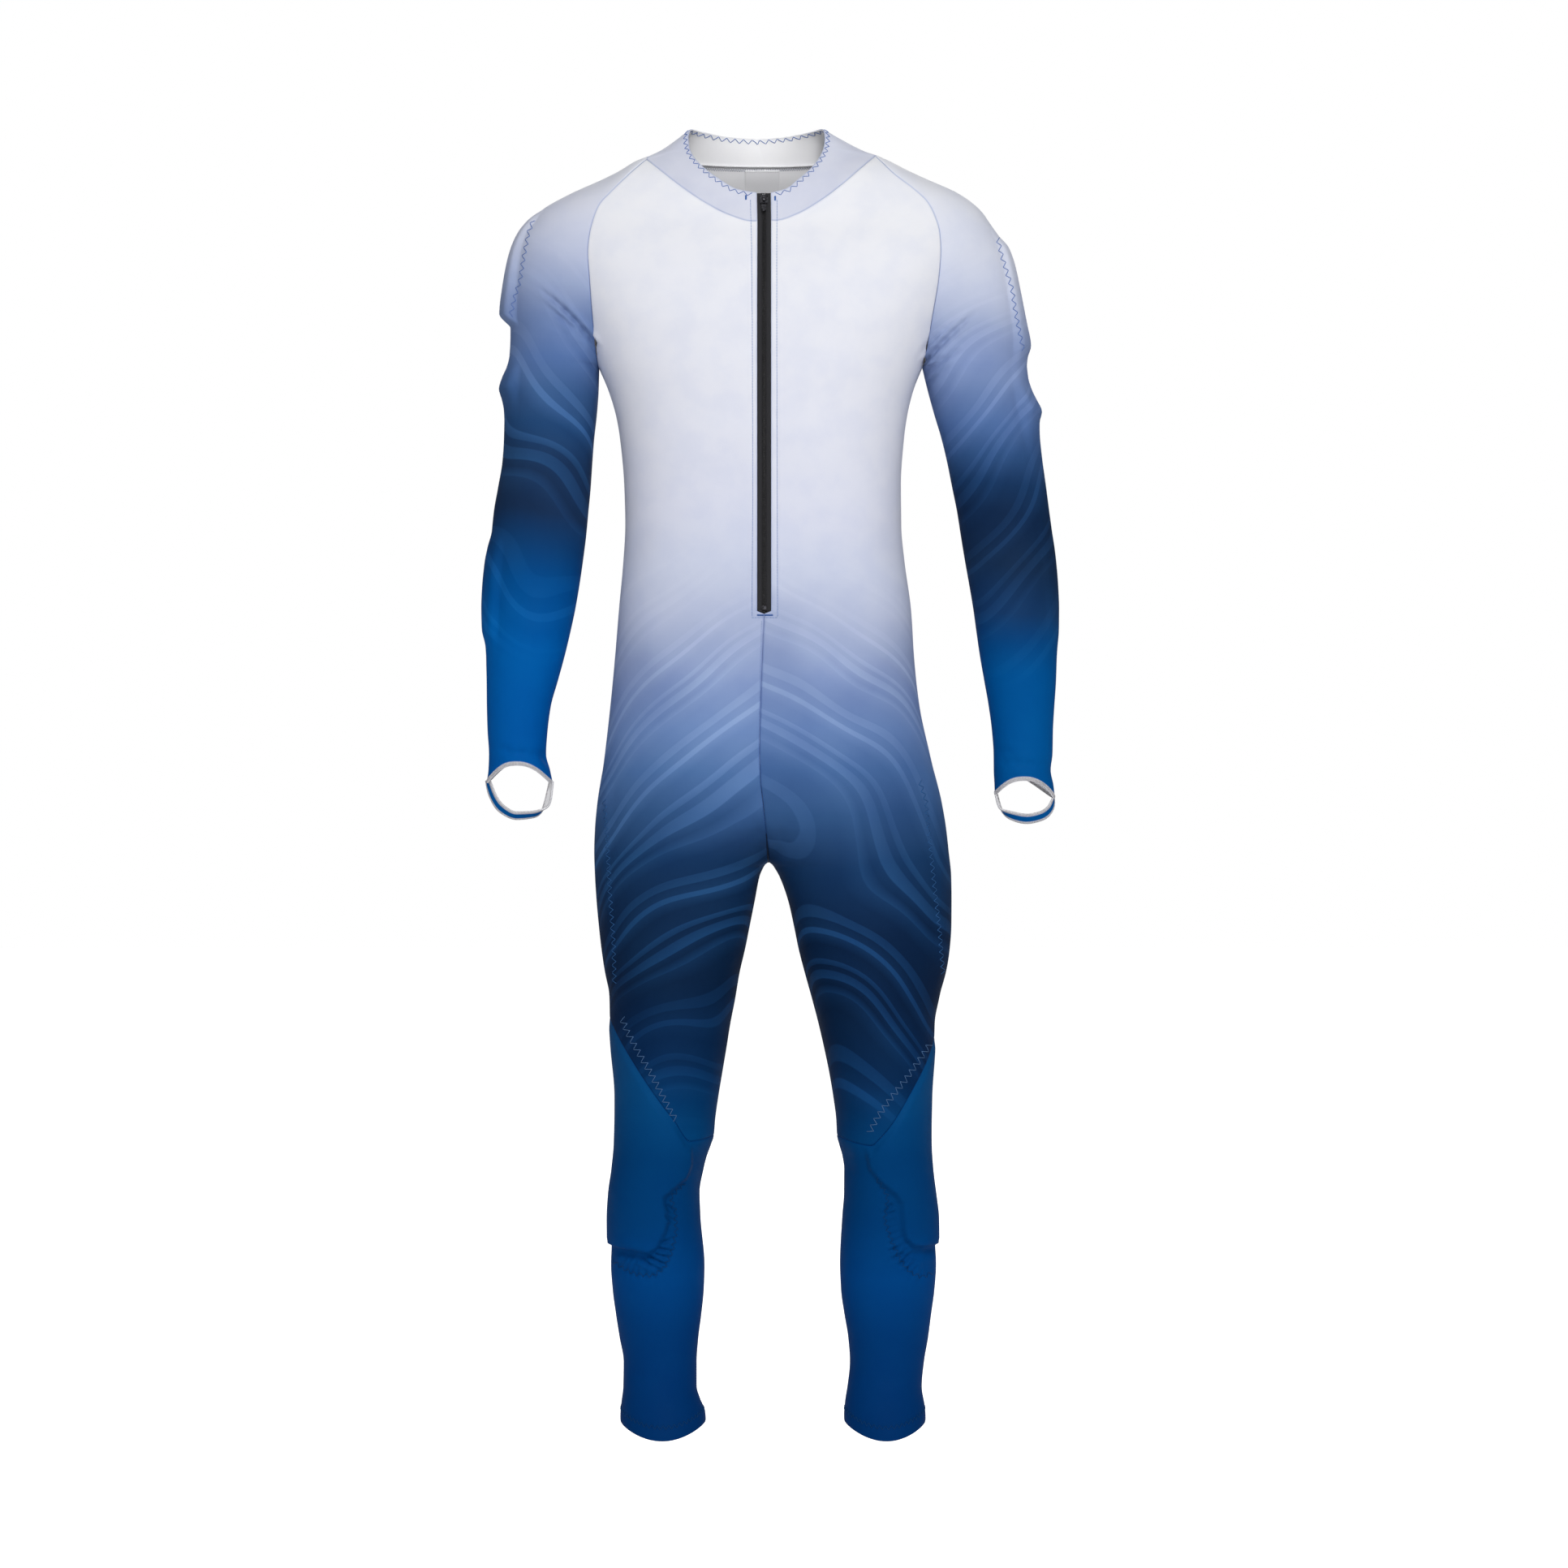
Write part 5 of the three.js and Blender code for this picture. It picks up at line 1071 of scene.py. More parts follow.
def dashes_on(caster, line, pitch, share=0.74):
    """Straight stitches along a line of pixels. The pitch is in mm."""
    corners = resample(line, pitch / PIXEL)
    return caster.stitches(corners[:-1], corners[1:], np.linspace(0, share, 5), 0.28)


def bar_tack(caster, start, end, count):
    """Close short stitches across a line of pixels."""
    middles = np.linspace(start, end, count)
    aside = 1.1 * unit(np.subtract(end, start).astype(float))[::-1]
    return caster.stitches(middles - aside, middles + aside, np.linspace(0, 1, 5), 0.45)


def edge_places(sheet, row, spacing):
    """Even places along an edge row of a grid: fractional columns."""
    line = sheet["grid"][row]
    if sheet["closed"]:
        line = np.concatenate([line, line[:1]])
    run = way_along(line)
    count = int(run[-1] / spacing)
    return np.interp(np.linspace(0, run[-1], count + 1), run, np.arange(len(line)))


EDGE_ROWS = 40


def from_edge(sheet, column, distance, low=True, inside=False):
    """Point and normal at a distance in from the lowest or highest row, at a fractional column."""
    grid, normals = sheet["grid"], sheet["normals"]
    count = grid.shape[1]
    left = int(math.floor(column)) % count
    right = (left + 1) % count if sheet["closed"] else min(left + 1, count - 1)
    share = column - math.floor(column)
    line = mix(grid[:, left], grid[:, right], share)
    facing = mix(normals[:, left], normals[:, right], share)
    if not low:
        line, facing = line[::-1], facing[::-1]
    line, facing = line[:EDGE_ROWS], facing[:EDGE_ROWS]
    run = way_along(line)
    place, normal = [np.array([np.interp(distance, run, rows[:, k]) for k in range(3)])
                     for rows in (line, facing)]
    normal = normal / np.linalg.norm(normal)
    return (place - CLOTH * normal, -normal) if inside else (place, normal)


def edge_zigzag(name, low, distance, width, period, inside=False, skip=0):
    """Zigzag stitches along the lowest or highest row of a piece."""
    sheet = SHEETS[name]
    columns = edge_places(sheet, 0 if low else -1, period / 2)
    columns = columns[skip:len(columns) - skip]
    offsets = distance + np.where(np.arange(len(columns)) % 2, 0.5, -0.5) * width
    runs = []
    for i in range(len(columns) - 1):
        found = [from_edge(sheet, mix(columns[i], columns[i + 1], s), mix(offsets[i], offsets[i + 1], s),
                           low, inside) for s in ZIGZAG_SHARES]
        runs.append(arched(*places_and_normals(found), 0.3))
    return runs


# One loop of overlocking: share of the pitch and of the width at each point, outside and inside the
# edge, how far the points lie off the cloth, and how far the thread stands out round the edge itself
OVERLOCK_OUTSIDE = ((0, 1), (0.1, 0.7), (0.2, 0.4), (0.3, 0.12))
OVERLOCK_INSIDE = ((0.55, 0.12), (0.7, 0.5), (0.85, 1))
OVERLOCK_LIFT = np.array([-0.3, 0.3, 0.3, 0.3, 0.3, 0.3, -0.3])
OVERLOCK_ROUND = 0.45


def overlock(name, low, width, pitch):
    """Loops of thread over a free edge, from the outside round to the inside."""
    sheet = SHEETS[name]
    columns = edge_places(sheet, 0 if low else -1, pitch)
    turn = len(OVERLOCK_OUTSIDE)
    runs = []
    for a, b in zip(columns[:-1], columns[1:]):
        found = [from_edge(sheet, mix(a, b, s), width * d, low) for s, d in OVERLOCK_OUTSIDE]
        found += [from_edge(sheet, mix(a, b, s), width * d, low, inside=True) for s, d in OVERLOCK_INSIDE]
        places, normals = places_and_normals(found)
        out = unit(places[turn - 1] - places[turn - 2])
        tip = (places[turn - 1] + places[turn]) / 2 + out * OVERLOCK_ROUND
        line = np.insert(places + OVERLOCK_LIFT[:, None] * normals, turn, tip, axis=0)
        runs.append((line, np.insert(normals, turn, out, axis=0)))
    return runs


# Zigzag stitching on the panels, by its name: period, width and radius of the thread in mm, the
# thread's colour, the slot, and the line in photograph pixels on each side.
ZIGZAGS = {
    "shoulder_stitch": (9.6, 4.8, 0.42, "blue", "sleeve_cloth", {
        "right": [(657, 271), (651, 287), (645, 318), (641, 345), (634, 366), (629, 390)],
        "left": [(1229, 293), (1234, 315), (1240, 334), (1247, 356), (1250, 378), (1255, 404), (1261, 432)],
    }),
    "hip_stitch": (8.4, 4.8, 0.4, "deep", "body_cloth", {
        "right": [(744, 985), (748, 1040), (752, 1110), (756, 1165), (757, 1212)],
        "left": [(1133, 962), (1141, 988), (1146, 1040), (1151, 1090), (1158, 1150), (1162, 1200)],
    }),
    "knee_stitch": (8.6, 7, 0.4, "pale", "body_cloth", {
        "right": [(766, 1254), (773, 1272), (786, 1296), (802, 1323), (814, 1346), (826, 1369),
                  (840, 1392)],
        "left": [(1071, 1396), (1082, 1375), (1097, 1354), (1116, 1330), (1133, 1306), (1146, 1286)],
    }),
    "pad_stitch": (7.4, 5, 0.36, "shin", "leg_cloth", GATHER_LINES),
}

# The seams at the crotch and in the middle of the front, how many pixels beside the latter its
# stitching runs, and the bar tacks at the ends of the zip: both ends, and how many stitches each has
CROTCH_SEAM = -762
CENTRE_SEAM_GAP = 1.7
CENTRE_SEAM = [(940, 765), (938, 830), (937, 900), (938, 945)]
BAR_TACKS = [((919, 241), (919, 246), 9), ((955, 242), (955, 247), 9), ((933, 758), (952, 758), 24)]


def crotch_line():
    """The seam under the crotch, from the front round to the back."""
    levels = np.linspace(CROTCH_SEAM, CROTCH, 16)
    front, back = [np.array([body_row("right", z, np.array([0.0]), behind)[0] for z in levels])
                   for behind in (False, True)]
    line = np.concatenate([front, back[::-1][1:]])
    ends = [CROTCH, CROTCH_SEAM]
    line[:, 0] = np.interp(line[:, 2], ends, [WIDTH["middle"](z) for z in ends])
    return line


def build_stitches():
    panels = [f"cloth_{part}_{name}" for name in SIDES for part in ("front", "sleeve", "lower_leg")]
    front = Caster(panels + ["cloth_collar"])
    for name in SIDES:
        for part, (period, width, radius, colour, slot, lines) in ZIGZAGS.items():
            stitches = zigzag_on(front, lines[name], period, width)
            thread(f"{part}_{name}", stitches, radius, f"thread_{colour}")
        hem = edge_zigzag(f"cloth_lower_leg_{name}", True, HEM_BAND[0], 5, 6.4)
        thread(f"hem_stitch_{name}", hem, 0.34, "thread_shin")
        thread(f"cuff_overlock_{name}", overlock(f"cloth_sleeve_{name}", True, CUFF_BAND, 1.2), 0.36,
               "thread_white", sides=4)
    rim = [run for inside in (False, True)
           for run in edge_zigzag("cloth_collar", False, 3.8, 5, 9.6, inside, skip=1)]
    thread("collar_stitch", rim, 0.42, "thread_blue")
    welts = [run for line in WELT_LINES for run in dashes_on(front, line, 3.2, 0.84)]
    thread("zip_stitch", welts, 0.34, "thread_light")
    beside = [(x - CENTRE_SEAM_GAP, y) for x, y in CENTRE_SEAM]
    thread("centre_stitch", dashes_on(front, beside, 2.8), 0.26, "thread_light")
    tacks = [run for tack in BAR_TACKS for run in bar_tack(front, *tack)]
    thread("bar_tacks", tacks, 0.34, "thread_bar")
    crotch = crotch_line()
    thread("crotch_seam", [(crotch, np.tile([1.0, 0, 0], (len(crotch), 1)))], 1.0, "thread_dark", sides=8)


# Hand loops

LOOP_ROWS = 91
LOOP_COLUMNS = 15
LOOP_CROWN = 1.4
LOOP_OVERLOCK = 2.9


def loop_grid(name):
    route = HAND_LOOP[name]
    steps = np.linspace(0, LOOP_END, LOOP_ROWS)

    def place(at):
        return points(route["x"](at), LOOP_Y, route["z"](at))

    along = unit(place(steps + 0.05) - place(steps - 0.05))
    across = points(route["leanX"](steps), -1, route["leanZ"](steps))
    across = unit(across - (across * along).sum(-1, keepdims=True) * along)
    out = -SIDES[name] * unit(np.cross(along, across))
    u = np.linspace(-0.5, 0.5, LOOP_COLUMNS)[None, :, None]
    return (place(steps)[:, None] + LOOP_WIDTH * u * across[:, None]
            + (CLOTH / 2 - LOOP_CROWN * (2 * u) ** 4 * 0.25) * out[:, None])


def loop_band(grid):
    """1 on the overlocked edges of a hand loop, 0 along its middle."""
    middle = grid[:, LOOP_COLUMNS // 2, None]
    return ramp(np.linalg.norm(grid - middle, axis=-1), 3.2, 4)


def build_hand_loops():
    for name in SIDES:
        piece = f"cloth_hand_loop_{name}"
        cloth_piece(piece, f"hand_loop_{name}", loop_grid(name), name == "right",
                    [f"loop_{name}", "inner_face"], hem=loop_band)
        turned = {key: SHEETS[piece][key].transpose(1, 0, 2) for key in ("grid", "normals")}
        SHEETS[f"turned_{name}"] = {**turned, "closed": False}
        for end, low in (("a", True), ("b", False)):
            thread(f"loop_overlock_{name}_{end}", overlock(f"turned_{name}", low, LOOP_OVERLOCK, 1.2), 0.32,
                   "thread_white", 4)


# Zip

def zip_point(z):
    neck = np.array([0, PROFILE["centre"](FRONT_NECK) - PROFILE["front"](FRONT_NECK), FRONT_NECK])
    if z <= FRONT_NECK:
        return np.array([WIDTH["middle"](z), PROFILE["centre"](z) - PROFILE["front"](z), z], float)
    rim = np.array([RIM["middle"](0), RIM["y"](0), RIM["z"](0)])
    return mix(neck, rim, (z - neck[2]) / (rim[2] - neck[2]))


def zip_frame(z):
    along = zip_point(z + 1) - zip_point(z - 1)
    along[0] = 0
    along = along / np.linalg.norm(along)
    across = np.array([1.0, 0, 0])
    return zip_point(z), across, along, np.cross(across, along)


def zip_line(frames, x, sunk):
    """A line along the zip, at x from its middle and sunk into it, and the way it faces."""
    line = np.array([middle + across * x - out * sunk for middle, across, _, out in frames])
    return line, np.array([out for *_, out in frames])


def zip_tooth(z, side):
    """The bend of one tooth's wire, which starts at that side."""
    middle, across, along, out = zip_frame(z)
    centre = middle - out * (TAPE_RECESS + TOOTH["sunk"])
    turn = np.linspace(*TOOTH["turn"], 9) * np.pi
    line = [centre + across * side * (TOOTH["offset"] - TOOTH["reach"] * np.sin(t))
            + out * TOOTH["depth"] * np.cos(t) + along * TOOTH["rise"] * (t / np.pi - 0.5) for t in turn]
    return np.array(line), np.tile(along, (len(line), 1))


def build_zip():
    low, high = ZIP_BOTTOM + ZIP_LIFT, float(RIM["z"](0)) - 0.3
    frames = [zip_frame(z) for z in np.linspace(low, high, 300)]
    widths = np.linspace(TAPE_INNER, TAPE_OUTER, 11)
    ribs = -TAPE_RECESS - TAPE_RIB * (np.arange(len(widths)) % 2)
    for name, side in SIDES.items():
        grid = np.array([[middle + across * side * w + out * r for w, r in zip(widths, ribs)]
                         for middle, across, _, out in frames])
        cloth_piece(f"woven_tape_{name}", f"zip_tape_{name}", grid, name == "right",
                    ["tape", "tape"], thickness=TAPE_THICK - 0.1)
    heights = np.arange(low + 0.8, high - 0.4, TOOTH_PITCH)
    teeth = [zip_tooth(z, 1 if i % 2 else -1) for i, z in enumerate(heights)]
    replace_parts(thread("zip_teeth", teeth, 0.42, "coil", sides=6), "zip_coil")
    core = [zip_line(frames[::2], x, TAPE_RECESS + CORE_DEPTH) for x in CORE_PLACES]
    thread("zip_core", core, CORE_RADIUS, "coil", sides=6)
    cords = [zip_line(frames, x, TAPE_RECESS + CORD_DEPTH) for x in CORD_PLACES]
    thread("zip_edge_cords", cords, CORD_RADIUS, "tape", sides=6)
    for node in ("zip_slider", "zip_pull", "zip_stop"):
        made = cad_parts[node]
        made.data.materials.clear()
        made.data.materials.append(MATERIALS["metal"])
        bevel = made.modifiers.new("soft_edges", "BEVEL")
        bevel.width = METAL_BEVEL * MM
        bevel.segments = 3
        bevel.limit_method = "ANGLE"


# Neck label and the inside of the back neck

NECK_OVERLOCK = [(856, 206), (880, 208.5), (910, 209.5), (950, 209.5), (985, 208), (1006, 205)]


def inside_back(x, z, depth):
    """Inside of the back at a place in the front view, moved in by depth."""
    def place(px, pz):
        return chest_point("right" if px < 0 else "left", np.array(px), np.array(pz), True)

    across = place(x + 0.5, z) - place(x - 0.5, z)
    up = place(x, z + 0.5) - place(x, z - 0.5)
    return place(x, z) - unit(np.cross(up, across)) * depth


def build_label():
    clear = LABEL["clear"] + LABEL["thick"]
    grid = np.array([[inside_back(x, z, clear + LABEL["wave"] * math.sin(x / 5) * math.sin(z / 7 + 1))
                      for x in np.linspace(LABEL["left"], LABEL["right"], 25)]
                     for z in np.linspace(LABEL["bottom"], LABEL["top"], 23)])
    cloth_piece("satin_label", "neck_label", grid, False, ["satin", "satin"],
                thickness=LABEL["thick"] - 0.1)
    sheet = SHEETS["satin_label"]
    columns = edge_places(sheet, -1, 2.6)
    runs = []
    for a, b in zip(columns[:-1], columns[1:]):
        found = [from_edge(sheet, mix(a, b, s), 1.8, False) for s in np.linspace(0, 0.75, 4)]
        runs.append(arched(*places_and_normals(found), 0.25))
    thread("label_stitch", runs, 0.22, "thread_white")


def build_neck_seam():
    """Overlocking inside the back of the neck, and the rolled edge all along the neck seam."""
    inside = Caster(["cloth_back_right", "cloth_back_left"], start_y=-5)
    thread("neck_overlock", zigzag_on(inside, NECK_OVERLOCK, 2.6, 3.4, CLOTH), 0.26, "thread_grey")
    collar = SHEETS["cloth_collar"]
    seam = collar["grid"][0]
    tops = [SHEETS[f"cloth_{part}_{name}"] for part in ("front", "back", "sleeve") for name in SIDES]
    places, facing = [np.concatenate([sheet[key][-1] for sheet in tops]) for key in ("grid", "normals")]
    nearest = np.linalg.norm(seam[:, None] - places[None], axis=-1).argmin(axis=1)
    inward = -unit(collar["normals"][0] + facing[nearest])
    corner = seam + (CLOTH + SEAM_ROLL) * inward
    thread("neck_seam_edge", [(corner, -inward)], SEAM_ROLL, "thread_edge", sides=10)


# Materials

def linear(r, g, b):
    values = []
    for value in (r, g, b):
        v = value / 255
        values.append(v / 12.92 if v <= 0.04045 else ((v + 0.055) / 1.055) ** 2.4)
    return (*values, 1)


class Shader:
    """A node tree with short ways to add and join nodes."""

    def __init__(self, name, roughness, metallic=0.0, sheen=0.0, specular=0.5):
        self.material = bpy.data.materials.new(name)
        self.material.use_nodes = True
        self.nodes = self.material.node_tree.nodes
        self.links = self.material.node_tree.links
        self.surface = self.nodes["Principled BSDF"]
        self.surface.inputs["Roughness"].default_value = roughness
        self.surface.inputs["Metallic"].default_value = metallic
        self.surface.inputs["Sheen Weight"].default_value = sheen
        self.surface.inputs["Sheen Roughness"].default_value = 0.4
        self.surface.inputs["Specular IOR Level"].default_value = specular
        MATERIALS[name] = self.material

    def add(self, kind, inputs=None, **settings):
        node = self.nodes.new("ShaderNode" + kind)
        for key, value in settings.items():
            setattr(node, key, value)
        for key, value in (inputs or {}).items():
            if isinstance(value, bpy.types.NodeSocket):
                self.links.new(value, node.inputs[key])
            else:
                node.inputs[key].default_value = value
        return node

    def place(self, shift=(0, 0, 0), scale=(1, 1, 1)):
        coordinates = self.add("TexCoord").outputs["Object"]
        return self.add("Mapping", {"Vector": coordinates, "Location": shift, "Scale": scale}).outputs[0]

    def math(self, operation, a, b=0.0):
        return self.add("Math", {0: a, 1: b}, operation=operation).outputs[0]

    def plus(self, a, b, share):
        return self.math("ADD", a, self.math("MULTIPLY", b, share))

    def swayed(self, value, noise, share):
        """A value moved up and down by a noise, round the noise's middle."""
        return self.plus(value, self.math("SUBTRACT", noise, 0.5), share)

    def range(self, value, low, high, to_low=0.0, to_high=1.0, kind="SMOOTHSTEP"):
        return self.add("MapRange", {"Value": value, "From Min": low, "From Max": high, "To Min": to_low,
                                     "To Max": to_high}, interpolation_type=kind).outputs[0]

    def noise(self, place, scale, detail=2.0, roughness=0.5):
        inputs = {"Vector": place, "Scale": scale, "Detail": detail, "Roughness": roughness}
        return self.add("TexNoise", inputs).outputs["Fac"]

    def wave(self, scale, distortion, direction):
        inputs = {"Vector": self.place(), "Scale": scale, "Distortion": distortion}
        return self.add("TexWave", inputs, bands_direction=direction).outputs["Fac"]

    def tinted(self, colour, tint):
        return self.mixed(1.0, colour, linear(*tint), "MULTIPLY")

    def mixed(self, share, a, b, blend="MIX"):
        node = self.nodes.new("ShaderNodeMix")
        node.data_type = "RGBA"
        node.blend_type = blend
        for index, value in ((0, share), (6, a), (7, b)):
            if isinstance(value, bpy.types.NodeSocket):
                self.links.new(value, node.inputs[index])
            else:
                node.inputs[index].default_value = value
        return node.outputs[2]

    def colours(self, value, stops):
        node = self.nodes.new("ShaderNodeValToRGB")
        self.links.new(value, node.inputs[0])
        elements = node.color_ramp.elements
        while len(elements) < len(stops):
            elements.new(0.5)
        for element, (at, colour) in zip(elements, stops):
            element.position = at
            element.color = colour
        return node.outputs[0]

    def bump(self, height, distance, strength=1.0):
        node = self.add("Bump", {"Height": height, "Distance": distance, "Strength": strength})
        self.links.new(node.outputs[0], self.surface.inputs["Normal"])

    def finish(self, colour, roughness=None):
        self.links.new(colour, self.surface.inputs["Base Color"])
        if roughness is not None:
            self.links.new(roughness, self.surface.inputs["Roughness"])


def knit(shader):
    """Fine jersey: small columns of loops, a little uneven."""
    fine = shader.noise(shader.place(scale=(1, 1, 0.45)), 1500, 1.0)
    slow = shader.noise(shader.place(), 60, 3.0)
    return shader.plus(fine, slow, 0.6)


# Colours of the print by height in mm, for front-facing cloth in the photograph's light, and the
# lighter tone of the ribbons there.
BODY_TONES = [
    (-1110, (2, 66, 118), (18, 88, 146)), (-1062, (4, 56, 104), (22, 82, 140)),
    (-1016, (9, 42, 80), (24, 72, 124)), (-930, (12, 36, 66), (27, 68, 114)),
    (-860, (15, 40, 72), (33, 76, 124)), (-790, (24, 56, 96), (48, 92, 142)),
    (-740, (50, 84, 130), (78, 116, 168)), (-693, (78, 112, 162), (108, 142, 192)),
    (-647, (112, 140, 188), (140, 166, 210)), (-600, (134, 154, 197), (160, 180, 216)),
    (-555, (158, 171, 204), (180, 192, 222)), (-510, (185, 193, 217), (200, 207, 228)),
    (-465, (201, 207, 226), (210, 215, 232)), (-400, (213, 216, 231), (217, 220, 234)),
    (-300, (222, 224, 235), (222, 224, 235)), (-60, (230, 231, 236), (230, 231, 236)),
]
SLEEVE_TONES = {
    "right": [
        (-650, (0, 85, 160), (10, 98, 172)), (-560, (0, 90, 164), (10, 102, 178)),
        (-485, (2, 80, 144), (16, 94, 160)), (-445, (16, 66, 116), (30, 84, 140)),
        (-405, (27, 50, 82), (38, 72, 116)), (-340, (28, 52, 86), (42, 82, 128)),
        (-297, (33, 68, 112), (58, 100, 152)), (-260, (56, 88, 134), (84, 120, 172)),
        (-225, (84, 112, 162), (112, 140, 188)), (-187, (112, 133, 176), (142, 162, 204)),
        (-150, (158, 171, 203), (176, 188, 218)), (-110, (190, 197, 219), (198, 204, 224)),
        (-60, (212, 215, 229), (214, 217, 231)), (0, (228, 230, 235), (228, 230, 235)),
    ],
    "left": [
        (-650, (0, 82, 148), (10, 94, 162)), (-590, (0, 80, 144), (12, 94, 160)),
        (-555, (6, 74, 132), (22, 90, 148)), (-518, (24, 60, 102), (38, 80, 128)),
        (-465, (24, 48, 78), (36, 68, 106)), (-405, (20, 44, 76), (36, 72, 116)),
        (-370, (26, 56, 94), (46, 86, 136)), (-334, (48, 80, 126), (76, 110, 164)),
        (-297, (78, 107, 157), (106, 134, 186)), (-260, (102, 125, 170), (130, 152, 198)),
        (-225, (128, 147, 189), (150, 168, 208)), (-187, (152, 166, 200), (172, 184, 216)),
        (-140, (192, 199, 220), (200, 206, 226)), (-90, (210, 214, 228), (214, 217, 231)),
        (0, (230, 231, 236), (230, 231, 236)),
    ],
}
LOW = -1450
HIGH = 50

# One run of ribbons of the print: place in the run, and how light the ribbon is there. Most ribbons
# have one crisp edge and fade towards the other.
RIBBONS = [
    (0, 0), (0.05, 0.1), (0.055, 0.75), (0.13, 0.45), (0.135, 0.05), (0.18, 0), (0.185, 0.4),
    (0.23, 0.6), (0.235, 0.1), (0.36, 0), (0.45, 0.3), (0.455, 0.95), (0.5, 0.9), (0.505, 0.2),
    (0.58, 0.05), (0.585, 0.5), (0.66, 0.35), (0.665, 0), (0.82, 0), (0.93, 0.25), (0.935, 0.55), (1, 0.02),
]
RUNS_PER_METRE = 7.2
PRINT_SLOPE = 0.25
PRINT_SWELL = 0.3
PRINT_RIPPLE = 0.055
PRINT_FADE_IN = 70
PRINT_FADE_OUT = 220
PRINT_BOTTOM = -1108
PRINT_TOP = -400


def by_height(shader, height, stops):
    """A colour for each height, from stops of height in mm and colour."""
    share = shader.range(height, LOW * MM, HIGH * MM, kind="LINEAR")
    places = [((z - LOW) / (HIGH - LOW), linear(*colour)) for z, colour in sorted(stops)]
    return shader.colours(share, places)


def printed_cloth(name, tones, shift, slant, bottom=PRINT_BOTTOM, top=PRINT_TOP):
    """Stretch cloth with a gradient, and flowing ribbons across it between two heights."""
    shader = Shader(name, 0.62, specular=0.02)
    place = shader.place(shift)
    split = shader.add("SeparateXYZ", {0: shader.place()})
    height = split.outputs["Z"]
    level = shader.swayed(height, shader.noise(place, 3.0, 1.0), 0.1)
    base = by_height(shader, level, [(z, colour) for z, colour, _ in tones])
    light = by_height(shader, level, [(z, colour) for z, _, colour in tones])
    flow = shader.plus(height, split.outputs["X"], slant)
    flow = shader.plus(flow, split.outputs["Y"], PRINT_SLOPE)
    flow = shader.plus(flow, shader.noise(place, 2.7, 0.0, 0.3), PRINT_SWELL)
    flow = shader.plus(flow, shader.noise(place, 8.5, 0.0, 0.3), PRINT_RIPPLE)
    turn = shader.math("FRACT", shader.math("MULTIPLY", flow, RUNS_PER_METRE))
    ribbon = shader.colours(turn, [(at, (tone, tone, tone, 1)) for at, tone in RIBBONS])
    patchy = shader.range(shader.noise(place, 3.6, 1.0), 0.34, 0.62, 0.35, 1.0)
    rising = shader.range(height, bottom * MM, (bottom + PRINT_FADE_IN) * MM)
    fading = shader.range(height, (top - PRINT_FADE_OUT) * MM, top * MM, 1.0, 0.0)
    window = shader.math("MULTIPLY", rising, fading)
    tone = shader.math("MULTIPLY", shader.math("MULTIPLY", ribbon, patchy), window)
    colour = shader.mixed(tone, base, light)
    deep = shader.range(shader.noise(place, 5.5, 1.0), 0.42, 0.62)
    deep = shader.math("MULTIPLY", deep, shader.math("MULTIPLY", window, 0.5))
    finish_cloth(shader, shader.mixed(deep, colour, shader.tinted(colour, (196, 206, 222))))


def finish_cloth(shader, colour):
    """Mottling, the tint along the seams (the thread's colour and painted shade in the seam), white
    overlocking and the knit's relief.
    """
    seam = shader.add("Attribute", attribute_name="seam").outputs["Fac"]
    band = shader.add("Attribute", attribute_name="overlock").outputs["Fac"]
    mottle = shader.noise(shader.place(), 30, 4.0)
    colour = shader.mixed(shader.range(mottle, 0.35, 0.7), colour, shader.tinted(colour, (249, 250, 253)))
    # Along seams and rims the colour is tinted darker and bluer: the thread's colour and painted shade in
    # the seam.
    tinted = shader.tinted(colour, (206, 216, 240))
    colour = shader.mixed(shader.math("MULTIPLY", seam, 0.7), colour, tinted)
    threads = shader.noise(shader.place(scale=(1, 1, 0.2)), 600, 2.0)
    white = shader.mixed(threads, linear(206, 206, 214), linear(238, 237, 239))
    colour = shader.mixed(band, colour, white)
    shader.bump(knit(shader), 0.00012, 0.55)
    shader.finish(colour, shader.range(mottle, 0.3, 0.7, 0.52, 0.62))


def plain_cloth(name, stops):
    """Plain stretch cloth whose colour changes slowly with height."""
    shader = Shader(name, 0.62, specular=0.02)
    height = shader.add("SeparateXYZ", {0: shader.place()}).outputs["Z"]
    level = shader.swayed(height, shader.noise(shader.place(), 5, 2.0), 0.06)
    finish_cloth(shader, by_height(shader, level, stops))


SHIN_TONES = [(-1440, (0, 50, 105)), (-1400, (0, 52, 109)), (-1330, (0, 57, 116)), (-1270, (0, 66, 130)),
              (-1200, (0, 60, 116)), (-1130, (0, 60, 113)), (-1080, (4, 68, 121)), (-1040, (8, 72, 124)),
              (-1000, (14, 70, 120))]


THREADS = {
    "blue": (112, 142, 208), "light": (150, 176, 228), "pale": (84, 122, 170), "deep": (52, 104, 164),
    "shin": (10, 66, 122), "bar": (88, 128, 200), "dark": (12, 36, 68), "white": (216, 214, 218),
    "grey": (206, 210, 226), "edge": (250, 250, 253),
}


def thread_material(name, colour):
    shader = Shader(name, 0.6, specular=0.1)
    twist = shader.noise(shader.place(), 2600, 1.0)
    darker = tuple(value * 0.72 for value in colour)
    shader.bump(twist, 0.0001, 0.6)
    shader.finish(shader.mixed(shader.range(twist, 0.3, 0.7), linear(*darker), linear(*colour)))


